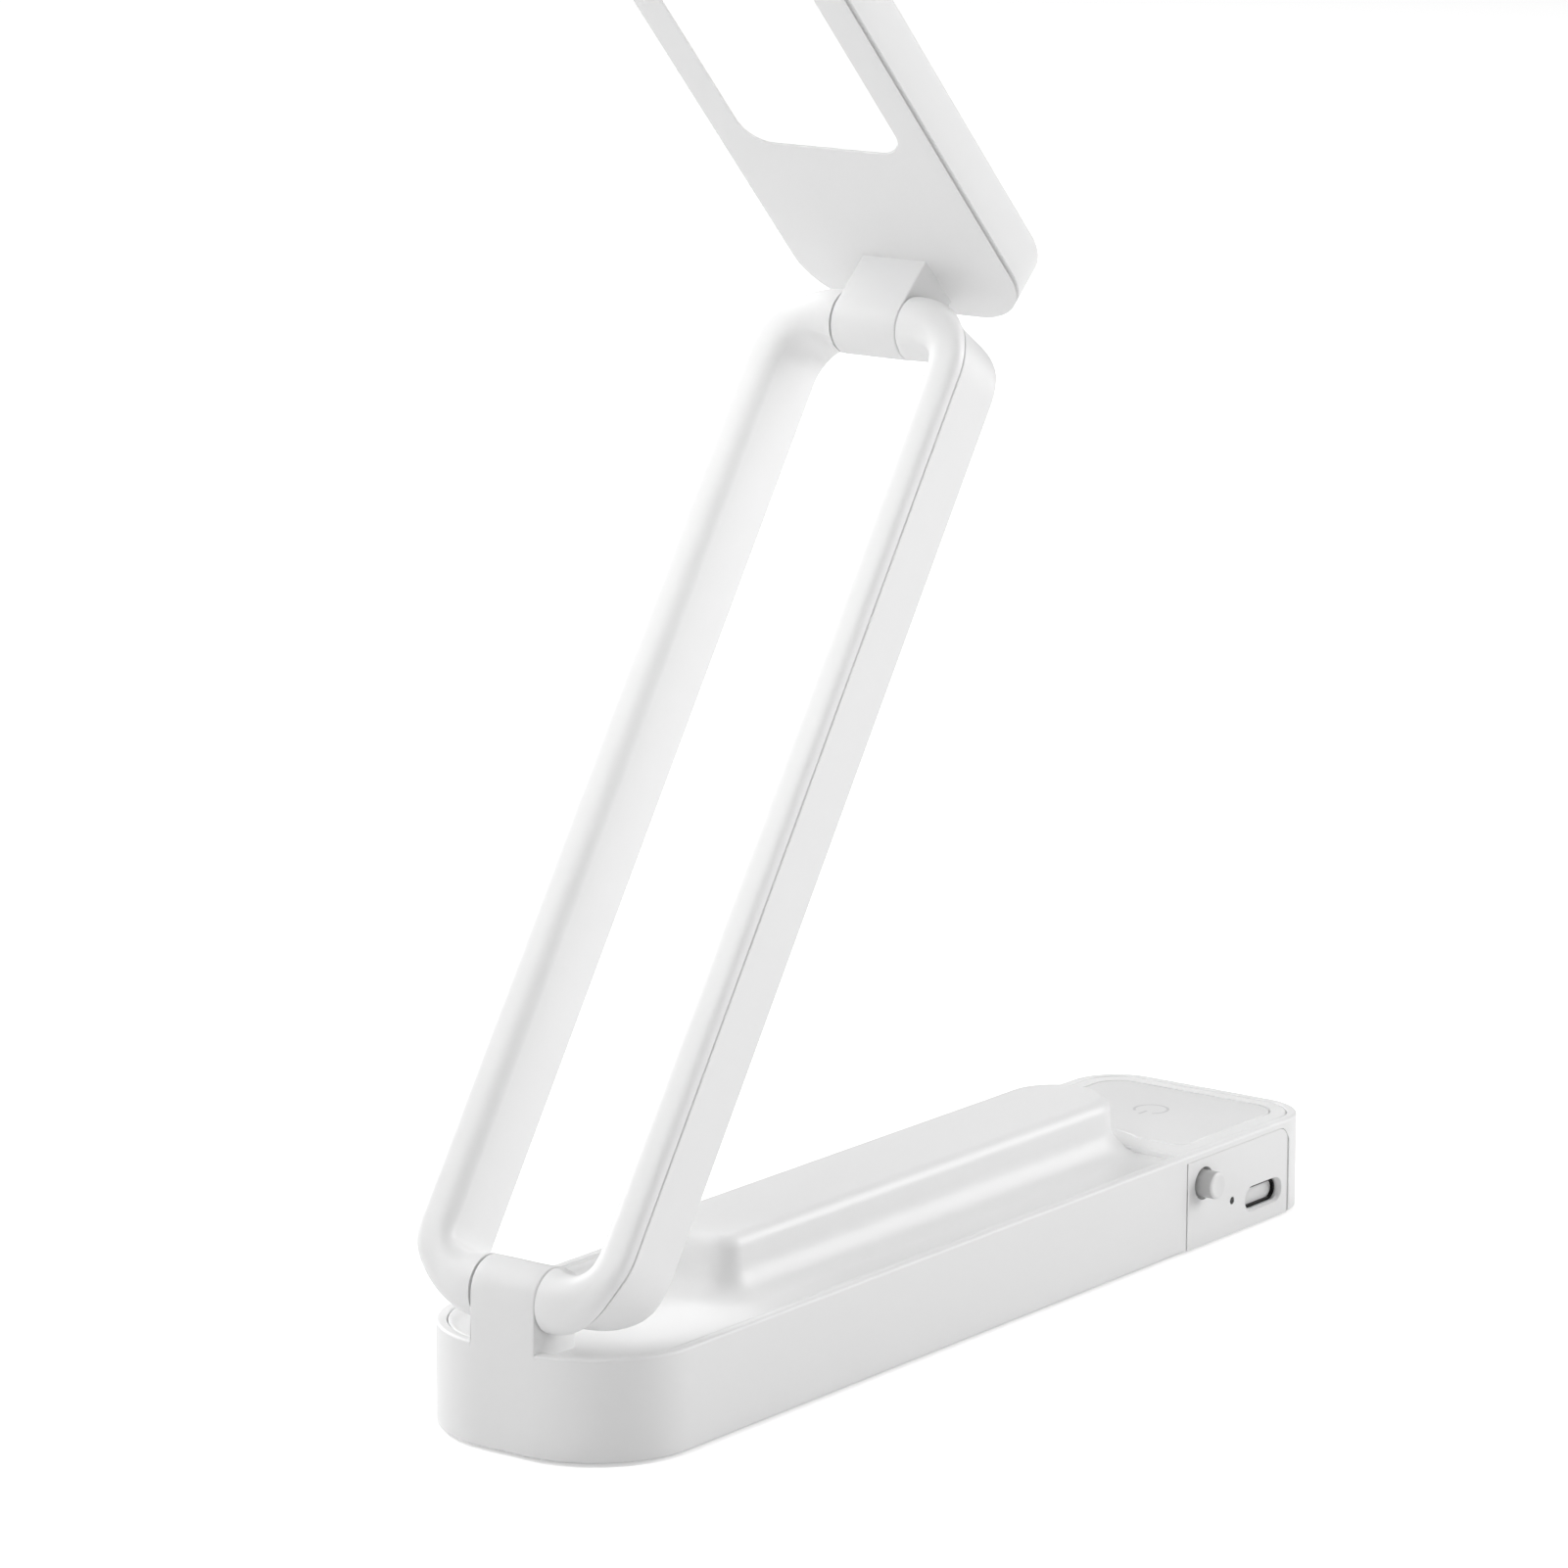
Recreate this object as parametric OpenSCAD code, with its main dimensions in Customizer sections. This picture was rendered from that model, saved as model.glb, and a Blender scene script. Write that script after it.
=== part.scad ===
// Folding desk lamp. A long base holds the battery under a hump, an open loop of an arm
// folds down round the hump, and a flat light head folds down on the arm.
// The origin is the middle of the base's underside. +X runs from the hinge to the touch
// end, the side with the sockets faces -Y, and +Z is up. All sizes are millimetres.

/* [Base] */
// Length of the base
base_length = 176; // [168:1:190]
// Width of the base
base_width = 40; // [39:0.5:44]
// Height of the base's side wall
base_height = 14.8; // [14.4:0.1:16]
// Thickness of the base's side wall
base_wall = 1.5; // [1.3:0.1:1.8]
// Corner radius in plan at the hinge end
near_corner_r = 16; // [12:0.5:17]
// Corner radius in plan at the touch end
far_corner_r = 8.7; // [7:0.1:11]
// Thickness of the bottom cover
cover_thick = 1.5; // [1.3:0.1:1.7]
// Thickness of the top deck
deck_thick = 1.6; // [1.4:0.1:1.8]
// Depth of the tray that the folded arm lies in
tray_depth = 2.2; // [1.9:0.1:2.4]
// Length of the touch platform behind the tray
platform_length = 36.2; // [34:0.2:38]
// Width of the ledge inside the wall that carries the deck
ledge_width = 1.2; // [0.8:0.1:1.6]

/* [Hump] */
// Where the hump starts, from the hinge end
hump_start = 40; // [36:0.5:42]
// Distance between the centre of the hump's round end and the touch end
hump_setback = 43; // [41:0.5:48]
// Half the width of the hump's crown
crown_half = 8.5; // [8.2:0.1:9]
// Height of the crown above the rim
crown_rise = 7.7; // [7.3:0.1:8.2]
// Rounding of the crown's edges
crown_round = 2; // [1:0.1:2.4]
// Radius of the cove at the hump's foot
foot_round = 6; // [5.4:0.1:6.4]
// Corner radius in plan at the hump's start
hump_corner_r = 3.6; // [2.6:0.1:5]
// Distance between the touch spring and the touch end
touch_setback = 16.2; // [14:0.2:18]

/* [Hinges] */
// Radius of both hinge barrels
barrel_r = 4.6; // [4.3:0.1:4.8]
// Width of both hinge barrels
barrel_w = 11.2; // [10:0.1:12]
// Gap at each side of a barrel
barrel_gap = 0.25; // [0.15:0.05:0.35]
// Radius of the hinge pins
pin_r = 1.3; // [1.1:0.1:1.5]
// Running clearance of a pin in its barrel
pin_play = 0.05; // [0.02:0.01:0.08]
// Height of the lower hinge above the base's lower edge
hinge_height = 21.6; // [21.4:0.1:22.2]

/* [Arm] */
// Distance between the two hinge axes
arm_reach = 148.9; // [146:0.1:151]
// Width across the arm's loop
arm_width = 36.8; // [36:0.1:37.4]
// Width of each rail
rail_width = 5.7; // [5.4:0.1:6]
// Depth of the rails behind the hinge axes
rail_back = 7.2; // [6.8:0.1:7.4]
// Height of the joint between the arm's shells in front of the hinge axes
arm_split = 2.75; // [2.7:0.05:3.2]
// Outer corner radius of the loop
loop_corner_r = 12; // [11:0.5:13]
// Wall of the rear shell
arm_wall = 1.2; // [1:0.1:1.4]
// Angle of the arm above the base, as it stands
arm_angle = 56.4; // [40:0.1:85]

/* [Head] */
// Length of the head
head_length = 161; // [150:1:168]
// Width of the head
head_width = 38.2; // [37:0.1:40]
// Thickness of the head
head_thick = 8.4; // [8:0.1:10]
// How far the head reaches past its hinge axis
head_tail = 7.5; // [6.5:0.1:8.5]
// Height of the lit face above the hinge axis
face_height = 8.6; // [8.4:0.1:9.4]
// Corner radius of the head in plan
head_corner_r = 10; // [7:0.5:12]
// Wall of the head's housing
head_wall = 1.5; // [1.2:0.1:1.8]
// Distance from the hinge axis to the light window
window_start = 28.2; // [24:0.2:34]
// Border between the window and the head's free end
window_border = 6; // [5:0.2:12]
// Width of the light window
window_width = 27.6; // [24:0.2:29]
// Corner radius of the light window
window_corner_r = 4.5; // [2:0.5:6]
// Thickness of the diffuser
diffuser_thick = 1.5; // [1:0.1:2]
// Angle of the head above the level, as it stands
head_angle = 46.7; // [30:0.1:80]

/* [Sockets and button] */
// Distance between the side panel's start and the touch end
panel_setback = 36.4; // [35:0.2:38]
// Length of the side panel
panel_length = 27.9; // [27:0.1:28.4]
// Drop of the side panel's top below the rim
panel_drop = 1; // [0.8:0.1:1.4]
// Gap round the side panel
panel_gap = 0.15; // [0.05:0.05:0.2]
// Button axis, from the panel's start
button_x = 4.6; // [4.4:0.1:5.4]
// Button axis above the base's lower edge
button_z = 9.7; // [9.2:0.1:10]
// Radius of the button
button_r = 2.1; // [1.8:0.1:2.3]
// Radius of the button's hole
button_hole_r = 2.55; // [2.4:0.05:2.7]
// How far the button stands out
button_proud = 2.6; // [2:0.1:3]
// Travel of the button
button_travel = 1.2; // [0.8:0.1:1.4]
// Charging socket's middle, from the panel's start
socket_x = 21.1; // [20.4:0.1:21.4]
// Width of the charging socket's metal shell
socket_w = 8.94; // [8.8:0.02:9.1]
// Height of the charging socket's metal shell
socket_h = 3.26; // [3.2:0.02:3.4]
// Depth of the charging socket
socket_depth = 7.3; // [6.5:0.1:8]

/* [Inside] */
// Diameter of the battery cell
cell_d = 18.2; // [18:0.05:18.3]
// Length of the battery cell
cell_length = 65; // [50:0.5:66]
// Thickness of the circuit board
board_thick = 1; // [0.8:0.1:1.6]
// Play of the cell in its hollow, all round
cell_play = 0.35; // [0.25:0.05:0.4]

/* [Underside] */
// Length of the grip pad
pad_length = 124; // [100:1:126]
// Width of the grip pad
pad_width = 22; // [16:0.5:23]
// Thickness of the grip pad
pad_thick = 1.2; // [1.1:0.1:1.4]
// How far the grip pad stands below the base
pad_proud = 0.5; // [0.3:0.05:0.7]

/* [Hidden] */
$fn = 64;
eps = 0.01;
fit = 0.1;
seat = 0.05;
play = 0.3;

// Derived places along the base
x_near = -base_length / 2;
x_far = base_length / 2;
z_edge = pad_proud;
z_rim = z_edge + base_height;
z_floor = z_rim - tray_depth;
z_deck = z_floor - deck_thick;
z_cover = z_edge + cover_thick;
x_tray_end = x_far - platform_length;
x_hump = x_near + hump_start;
x_bay = x_far - hump_setback;
bay_r = crown_half + 5.2;

// Lower hinge axis
hinge_x = x_near + barrel_r;
hinge_z = z_edge + hinge_height;
ear_half = barrel_w / 2 + barrel_gap;

// Places of the four cover screws
screw_r = 0.95;
screw_head_r = 1.9;
screw_head_h = 0.8;
boss_r = 2.3;
near_screw = [x_near + near_corner_r + 2, base_width / 2 - 8];
far_screw = [x_tray_end - 8, base_width / 2 - base_wall - ledge_width - boss_r - 0.1];
screw_spots = [for (p = [near_screw, far_screw]) for (s = [-1, 1]) [p[0], s * p[1]]];

// The post that carries the lower barrel, flush with the hinge end
post_x = x_near + 2 * barrel_r;

// Battery cell and its hollow
cell_hollow_r = cell_d / 2 + cell_play;
cell_z = z_cover + 0.2 + cell_d / 2;
cell_x0 = x_hump + 4;

// Touch pad, its seat, and the hollow under the platform
pad_seat_depth = 0.9;
pad_inset = 3;
platform_roof = z_rim - pad_seat_depth - deck_thick;
touch_x = x_far - touch_setback;

// Side panel with the button, the pinhole and the charging socket
panel_x0 = x_far - panel_setback;
panel_x1 = panel_x0 + panel_length;
panel_z1 = z_rim - panel_drop;
panel_corner_r = 2.2;
panel_lip = 1;
panel_back_y = -base_width / 2 + base_wall + 1;
board_z = z_cover + 0.2;
socket_cx = panel_x0 + socket_x;
socket_cz = board_z + board_thick + socket_h / 2;
socket_y0 = -base_width / 2 + 0.9;
button_cx = panel_x0 + button_x;
button_cz = z_edge + button_z;
pinhole_r = 0.6;
pinhole_x = panel_x0 + 12.4;
pinhole_z = z_edge + 5.2;

// The button has a flange behind the panel that keeps it in
flange_y = panel_back_y + 0.15;
flange_h = 0.8;
flange_r = button_hole_r + 0.5;
plunger_half = 1.1;
switch_y0 = flange_y + flange_h + button_travel + 0.4;
switch_y1 = switch_y0 + 7.5;

// Arm, in its own frame: along +X from the lower hinge, with its front up
rail_r = rail_width / 2;
cap_z = barrel_r - rail_r;
bend_r = loop_corner_r - rail_r;
bend_a = loop_corner_r - barrel_r;
bend_y = arm_width / 2 - loop_corner_r;
rail_y = arm_width / 2 - rail_r;
bar_free = rail_y - rail_r - 3.2;
arm_screw_spots = [25, arm_reach - 25];
arm_screw_r = 0.9;
skirt_run = 17;
skirt_end = barrel_r + 0.9;
left_channel_a = bend_a + 4;
right_channel_a = arm_screw_spots[0] + 4;

// Hinge pins, with a head on one side and a nut on the other
washer_t = 0.5;
washer_r = 2.5;
pin_head_r = 2.4;
pin_head_h = 1.4;
pin_half = ear_half + 5.6;

// Head, in its own frame: along -X from the upper hinge, with its lit face down
x_tail = head_tail;
x_tip = head_tail - head_length;
rim_lip = 0.35;
gap_h = 0.7;
gap_depth = 0.8;
z_face = face_height;
z_back = face_height + head_thick;
z_shell = z_face + rim_lip + gap_h;
x_window0 = -window_start;
x_window1 = x_tip + window_border;
window_length = x_window0 - x_window1;
frame_wall = 1.1;
head_screw_spots = [for (s = [-1, 1]) [-2, s * (head_width / 2 - 8)]];

// White plastics and metals
white = [0.93, 0.93, 0.93];
milk = [0.98, 0.98, 0.97];
steel = [0.75, 0.75, 0.77];

// ---- shared shapes ----

// A rectangle with round corners from x0 to x1, centred on Y
module round_rect(x0, x1, w, r) {
    for (x = [x0 + r, x1 - r])
        for (y = [-w / 2 + r, w / 2 - r])
            translate([x, y]) circle(r);
    translate([x0 + r, -w / 2]) square([x1 - x0 - 2 * r, w]);
    translate([x0, -w / 2 + r]) square([x1 - x0, w - 2 * r]);
}

// The base's outline in plan, moved inwards by inset
module base_plan(inset) {
    near_y = base_width / 2 - near_corner_r;
    far_y = base_width / 2 - far_corner_r;
    for (s = [-1, 1]) {
        translate([x_near + near_corner_r, s * near_y]) circle(near_corner_r - inset);
        translate([x_far - far_corner_r, s * far_y]) circle(far_corner_r - inset);
    }
    translate([x_near + near_corner_r, -base_width / 2 + inset])
        square([base_length - near_corner_r - far_corner_r, base_width - 2 * inset]);
    translate([x_near + inset, -near_y])
        square([near_corner_r - inset, 2 * near_y]);
    translate([x_far - far_corner_r, -far_y])
        square([far_corner_r - inset, 2 * far_y]);
}

// A prism of the base's outline between two heights
module base_prism(inset, z0, z1) {
    translate([0, 0, z0]) linear_extrude(z1 - z0) base_plan(inset);
}

// A block given by its lowest and highest corners
module block(lo, hi) {
    translate(lo) cube(hi - lo);
}

// A round bar along Y, centred on Y
module bar_y(r, w) {
    rotate([90, 0, 0]) cylinder(r = r, h = w, center = true);
}

// A pan-head screw along +Z with its head at the bottom
module pan_screw(shaft_r, length, head_r, head_h) {
    difference() {
        union() {
            cylinder(r = head_r, h = head_h);
            cylinder(r = shaft_r, h = length);
        }
        for (a = [0, 90])
            rotate([0, 0, a])
                block([-head_r * 0.6, -0.2, -eps], [head_r * 0.6, 0.2, head_h * 0.45]);
    }
}

// ---- base ----

module lower_barrel_bore() {
    translate([hinge_x, 0, hinge_z]) bar_y(pin_r + pin_play, barrel_w + 1);
}

module base_shell() {
    color(white)
    difference() {
        union() {
            difference() {
                base_prism(0, z_edge, z_rim);
                base_prism(base_wall, z_edge - eps, z_deck - deck_thick);
                base_prism(base_wall + ledge_width, z_edge - eps, z_deck);
                base_prism(base_wall, z_deck, z_rim + eps);
            }
            block([x_near, -barrel_w / 2, z_cover + seat], [post_x, barrel_w / 2, hinge_z]);
            translate([hinge_x, 0, hinge_z]) bar_y(barrel_r, barrel_w);
        }
        lower_barrel_bore();
        panel_prism(0, -eps, base_wall + ledge_width + eps);
    }
}

// Half of the hump's cross-section: a wall with a round top edge and a cove at its foot
module hump_profile(half) {
    crown_h = z_rim + crown_rise - z_deck;
    foot_h = z_floor + foot_round - z_deck;
    difference() {
        union() {
            square([half, crown_h - crown_round]);
            square([half - crown_round, crown_h]);
            translate([half - crown_round, crown_h - crown_round])
                intersection() {
                    circle(crown_round);
                    square(crown_round);
                }
            square([half + foot_round, foot_h]);
        }
        translate([half + foot_round, foot_h]) circle(foot_round);
    }
}

// The hump stands on the deck with its side walls, its hinge end's wall and its round end
module hump() {
    x_corner = x_hump + hump_corner_r;
    corner_y = crown_half - hump_corner_r;
    translate([0, 0, z_deck]) {
        for (s = [0, 1])
            mirror([0, s, 0]) {
                translate([x_corner, 0, 0])
                    rotate([90, 0, 90])
                        linear_extrude(x_bay - x_corner) hump_profile(crown_half);
                translate([x_corner, corner_y, 0]) rotate_extrude() hump_profile(hump_corner_r);
            }
        translate([x_corner, -corner_y, 0])
            rotate([90, 0, 180])
                linear_extrude(2 * corner_y) hump_profile(hump_corner_r);
        translate([x_bay, 0, 0]) rotate_extrude() hump_profile(crown_half);
    }
}

module touch_plan(inset) {
    difference() {
        intersection() {
            base_plan(pad_inset + inset);
            translate([x_tray_end + 1.8 + inset, -base_width / 2])
                square([x_far - x_tray_end, base_width]);
        }
        translate([x_bay, 0]) circle(bay_r + inset);
    }
}

module top_deck() {
    deck_inset = base_wall + fit;
    color(white)
    difference() {
        union() {
            base_prism(deck_inset, z_deck, z_floor);
            intersection() {
                base_prism(deck_inset, z_deck, z_rim);
                block([x_tray_end, -base_width, z_deck], [x_far, base_width, z_rim]);
            }
            hump();
            for (p = screw_spots)
                translate([p[0], p[1], z_cover + fit]) cylinder(r = boss_r, h = z_deck - z_cover);
        }
        // hollow for the cell
        translate([cell_x0 - 0.5, 0, cell_z])
            rotate([0, 90, 0]) cylinder(r = cell_hollow_r, h = cell_length + 3);
        // room under the touch platform
        intersection() {
            base_prism(base_wall + ledge_width + 0.6, z_deck - 1, platform_roof);
            block([x_tray_end + 1.6, -base_width, z_deck - 1], [x_far, base_width, platform_roof]);
        }
        // room for the button's flange
        block([button_cx - flange_r - play, -base_width / 2, z_deck - 1],
              [button_cx + flange_r + play, switch_y0 - fit, button_cz + flange_r + play]);
        // seat of the touch pad
        translate([0, 0, z_rim - pad_seat_depth]) linear_extrude(2) touch_plan(0);
        // notch round the post
        block([x_near - 1, -barrel_w / 2 - fit, z_deck - 1],
              [post_x + fit, barrel_w / 2 + fit, z_rim]);
        for (p = screw_spots)
            translate([p[0], p[1], z_edge]) cylinder(r = screw_r + seat, h = z_deck - z_edge);
    }
}

module base_cover() {
    color(white)
    difference() {
        base_prism(base_wall + fit, z_edge, z_cover);
        translate([0, 0, z_edge - 1]) linear_extrude(1 + pad_thick - pad_proud)
            round_rect(-pad_length / 2 - fit, pad_length / 2 + fit, pad_width + 2 * fit, 4 + fit);
        for (p = screw_spots) {
            translate([p[0], p[1], z_edge - 1]) cylinder(r = screw_head_r + 0.2, h = 1 + screw_head_h);
            translate([p[0], p[1], z_edge - 1]) cylinder(r = screw_r + 0.1, h = 4);
        }
        block([panel_x0 - panel_lip - fit, -base_width / 2, z_edge - 1],
              [panel_x1 + panel_lip + fit, panel_back_y + fit, z_cover + 1]);
    }
}

module grip_pad() {
    color("dimgray")
    linear_extrude(pad_thick) round_rect(-pad_length / 2, pad_length / 2, pad_width, 4);
}

module cover_screws() {
    color(steel)
    for (p = screw_spots)
        translate([p[0], p[1], z_edge + 0.1 - seat])
            pan_screw(screw_r, z_deck - z_edge - 2, screw_head_r, screw_head_h - 0.1 + seat);
}

// ---- side panel, button and sockets ----

// The panel's outline, run inwards from the side face between two depths
module panel_prism(inset, y0, y1) {
    translate([0, -base_width / 2 + y1, 0]) rotate([90, 0, 0]) linear_extrude(y1 - y0)
        panel_face(inset);
}

module panel_face(inset) {
    r = panel_corner_r;
    top = panel_z1 - inset;
    right = panel_x1 - inset;
    left = panel_x0 + inset;
    translate([left, z_edge - 2 * fit]) square([right - left, top - r - z_edge + 2 * fit]);
    translate([left, z_edge]) square([right - left - r, top - z_edge]);
    translate([right - r, top - r]) circle(r);
}

// A slot with round ends along X, run along Y
module slot_y(w, h, y0, y1) {
    for (s = [-1, 1])
        translate([s * (w - h) / 2, y1, 0]) rotate([90, 0, 0]) cylinder(r = h / 2, h = y1 - y0);
    block([-(w - h) / 2, y0, -h / 2], [(w - h) / 2, y1, h / 2]);
}

module side_panel() {
    y_face = -base_width / 2;
    y_lip = y_face + base_wall + seat;
    z_lip = z_deck - deck_thick - fit;
    color(white)
    difference() {
        union() {
            intersection() {
                panel_prism(panel_gap, 0, base_wall + ledge_width);
                union() {
                    block([panel_x0, y_face, z_edge], [panel_x1, y_lip, panel_z1]);
                    block([panel_x0, y_face, z_edge], [panel_x1, panel_back_y, z_lip]);
                }
            }
            block([panel_x0 - panel_lip, y_lip, z_edge],
                  [panel_x1 - panel_corner_r, panel_back_y, z_lip]);
        }
        translate([button_cx, y_face + 3, button_cz]) rotate([90, 0, 0])
            cylinder(r = button_hole_r, h = 4);
        translate([pinhole_x, y_face + 3, pinhole_z]) rotate([90, 0, 0])
            cylinder(r = pinhole_r, h = 4);
        translate([socket_cx, 0, socket_cz])
            slot_y(socket_w + 0.3, socket_h + 0.3, y_face - 1, panel_back_y + 1);
        translate([socket_cx, 0, socket_cz])
            slot_y(socket_w + 1.5, socket_h + 0.8, y_face - 1, y_face + 0.6);
    }
}

module usb_socket() {
    wall = 0.3;
    color(steel)
    translate([socket_cx, 0, socket_cz])
    difference() {
        slot_y(socket_w, socket_h, socket_y0, socket_y0 + socket_depth);
        slot_y(socket_w - 2 * wall, socket_h - 2 * wall, socket_y0 - 1,
               socket_y0 + socket_depth - 0.8);
    }
}

module usb_tongue() {
    color([0.12, 0.12, 0.13])
    block([socket_cx - 3.35, socket_y0 + 1, socket_cz - 0.35],
          [socket_cx + 3.35, socket_y0 + socket_depth - 0.8, socket_cz + 0.35]);
}

module power_button() {
    color(white)
    translate([button_cx, 0, button_cz])
    rotate([-90, 0, 0]) {
        translate([0, 0, -base_width / 2 - button_proud])
            cylinder(r = button_r, h = flange_y + base_width / 2 + button_proud + flange_h);
        translate([0, 0, flange_y]) cylinder(r = flange_r, h = flange_h);
    }
}

module switch_plunger() {
    color("dimgray")
    block([button_cx - plunger_half, flange_y + flange_h, button_cz - plunger_half],
          [button_cx + plunger_half, switch_y0 + 2.5, button_cz + plunger_half]);
}

module switch_body() {
    hole = plunger_half + 0.15;
    color([0.2, 0.2, 0.22])
    difference() {
        block([button_cx - 2.6, switch_y0, board_z + board_thick],
              [button_cx + 4, switch_y1, button_cz + 2.6]);
        block([button_cx - hole, switch_y0 - 1, button_cz - hole],
              [button_cx + hole, switch_y0 + 2.5 + button_travel + 0.4, button_cz + hole]);
    }
}

module indicator_lens() {
    y0 = -base_width / 2 + 0.1;
    color(milk)
    translate([pinhole_x, 0, pinhole_z]) {
        translate([0, panel_back_y + 0.05, 0]) rotate([90, 0, 0])
            cylinder(r = pinhole_r - seat, h = panel_back_y + 0.05 - y0);
        translate([0, 0, 0])
            block([-0.8, panel_back_y + 0.05, board_z + board_thick - pinhole_z],
                  [0.8, panel_back_y + 1.6, 0.8]);
    }
}

// ---- touch key, board and battery ----

module touch_pad() {
    color(milk)
    translate([0, 0, z_rim - pad_seat_depth])
        linear_extrude(pad_seat_depth + 0.05) touch_plan(0.12);
}

// A wire coil of a given radius, swept as one closed tube
module coil(coil_r, wire_r, height, turns) {
    steps = 12;
    sides = 6;
    rings = turns * steps;
    pts = [for (i = [0 : rings]) for (j = [0 : sides - 1])
        let (a = 360 * i / steps, b = 360 * j / sides, r = coil_r + wire_r * cos(b))
        [r * cos(a), r * sin(a), height * i / rings + wire_r * sin(b)]];
    skin = [for (i = [0 : rings - 1]) for (j = [0 : sides - 1])
        let (k = (j + 1) % sides)
        [i * sides + j, i * sides + k, (i + 1) * sides + k, (i + 1) * sides + j]];
    ends = [[for (j = [0 : sides - 1]) sides - 1 - j],
            [for (j = [0 : sides - 1]) rings * sides + j]];
    polyhedron(points = pts, faces = concat(skin, ends));
}

module touch_spring() {
    wire_r = 0.3;
    base_z = board_z + board_thick;
    color(steel)
    translate([touch_x, 0, base_z + wire_r + seat])
        coil(2.6, wire_r, platform_roof - base_z - 2 * wire_r - 2 * seat, 6);
}

module control_board() {
    color([0.1, 0.35, 0.2])
    difference() {
        translate([0, 0, board_z]) linear_extrude(board_thick)
            intersection() {
                base_plan(base_wall + ledge_width + 0.3);
                translate([x_tray_end - 4, -base_width / 2])
                    square([x_far - x_tray_end, base_width - 4]);
            }
        block([panel_x0 - panel_lip - 1, -base_width / 2, board_z - 1],
              [panel_x1 + 1, panel_back_y + 0.1, board_z + board_thick + 1]);
    }
}

module board_chips() {
    z0 = board_z + board_thick;
    color([0.15, 0.15, 0.16]) {
        block([x_tray_end + 3, 2, z0], [x_tray_end + 8, 7, z0 + 1.5]);
        block([x_tray_end + 12, 6, z0], [x_tray_end + 18, 12, z0 + 2.8]);
        block([x_tray_end + 24, -3, z0], [x_tray_end + 28, 1, z0 + 1.2]);
    }
}

module battery_cell() {
    body = cell_length - 1;
    color([0.25, 0.45, 0.65])
    translate([cell_x0, 0, cell_z]) rotate([0, 90, 0]) {
        cylinder(r = cell_d / 2, h = body);
        translate([0, 0, body]) cylinder(r = 2.8, h = 1);
    }
}

module battery_tabs() {
    strip = 3;
    tab = 0.2;
    color(steel) {
        block([cell_x0 - tab, -strip / 2, z_cover + seat], [cell_x0, strip / 2, cell_z + 3]);
        block([cell_x0 + cell_length, -strip / 2, z_cover + seat],
              [cell_x0 + cell_length + tab, strip / 2, cell_z + 3]);
    }
}

// ---- arm, drawn along +X with its front up ----

module place_arm() {
    translate([hinge_x, 0, hinge_z]) rotate([0, -arm_angle, 0]) children();
}

// The rail's section: a flat back and a half-round front
module rail_section() {
    translate([0, cap_z]) circle(rail_r);
    translate([-rail_r, -rail_back]) square([rail_width, rail_back + cap_z]);
}

// The part of the rail's section on one side of the shells' joint
module shell_section(front) {
    intersection() {
        rail_section();
        if (front)
            translate([-rail_width, arm_split]) square([2 * rail_width, barrel_r]);
        else
            translate([-rail_width, -2 * rail_back]) square([2 * rail_width, 2 * rail_back + arm_split]);
    }
}

// The right rail with its bends, drawn on the -Y side
module rail(front) {
    translate([bend_a, -rail_y, 0]) rotate([90, 0, 90])
        linear_extrude(arm_reach - 2 * bend_a) shell_section(front);
    translate([bend_a, -bend_y, 0]) rotate([0, 0, 180])
        rotate_extrude(angle = 90) translate([bend_r, 0]) shell_section(front);
    translate([arm_reach - bend_a, -bend_y, 0]) rotate([0, 0, 270])
        rotate_extrude(angle = 90) translate([bend_r, 0]) shell_section(front);
}

// The round bar ends that run from the right rail to both barrels
module bar_ends(front) {
    z0 = front ? arm_split : -barrel_r - 1;
    z1 = front ? barrel_r + 1 : arm_split;
    intersection() {
        for (a = [0, arm_reach])
            translate([a, -(ear_half + rail_y) / 2, 0]) bar_y(barrel_r, rail_y - ear_half);
        translate([0, 0, z0]) linear_extrude(z1 - z0)
            round_rect(-barrel_r, arm_reach + barrel_r, arm_width, loop_corner_r);
    }
}

// Trims the back of the rails towards a hinge, so that it clears the base's rim
module skirt_trim() {
    rotate([90, 0, 0]) linear_extrude(arm_width + 2, center = true)
        polygon([[-2 * barrel_r, -2 * rail_back], [skirt_run, -2 * rail_back],
                 [skirt_run, -rail_back], [0, -skirt_end], [-2 * barrel_r, -skirt_end]]);
}

// Clears a hinge pin, its washers, its head and its nut out of the arm
module pin_room(a) {
    translate([a, 0, 0]) {
        bar_y(pin_r + 0.02, 2 * pin_half + 2 * seat);
        bar_y(washer_r + seat, 2 * (ear_half + washer_t));
        translate([0, -pin_half + pin_head_h / 2, 0]) bar_y(washer_r + seat, pin_head_h + 2 * seat);
    }
}

// The channel inside the right rail, between two distances from the lower hinge
module wire_channel(a0, a1) {
    block([a0, -rail_y - rail_r + arm_wall, -rail_back + arm_wall],
          [a1, -rail_y + rail_r - arm_wall, arm_split + 1]);
}

module rail_rear(channel_a) {
    difference() {
        union() {
            difference() {
                rail(false);
                for (a = [0, arm_reach])
                    block([a - 2 * barrel_r, -bar_free, -2 * rail_back],
                          [a + 2 * barrel_r, bar_free, barrel_r]);
            }
            bar_ends(false);
        }
        for (a = [0, arm_reach]) pin_room(a);
        skirt_trim();
        translate([arm_reach, 0, 0]) mirror([1, 0, 0]) skirt_trim();
        wire_channel(channel_a, arm_reach - channel_a);
    }
}

module rail_front() {
    union() {
        rail(true);
        bar_ends(true);
    }
}

module left_rail_rear() {
    color(white) place_arm() mirror([0, 1, 0]) rail_rear(left_channel_a);
}

module left_rail_front() {
    color(white) place_arm() mirror([0, 1, 0]) rail_front();
}

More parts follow.
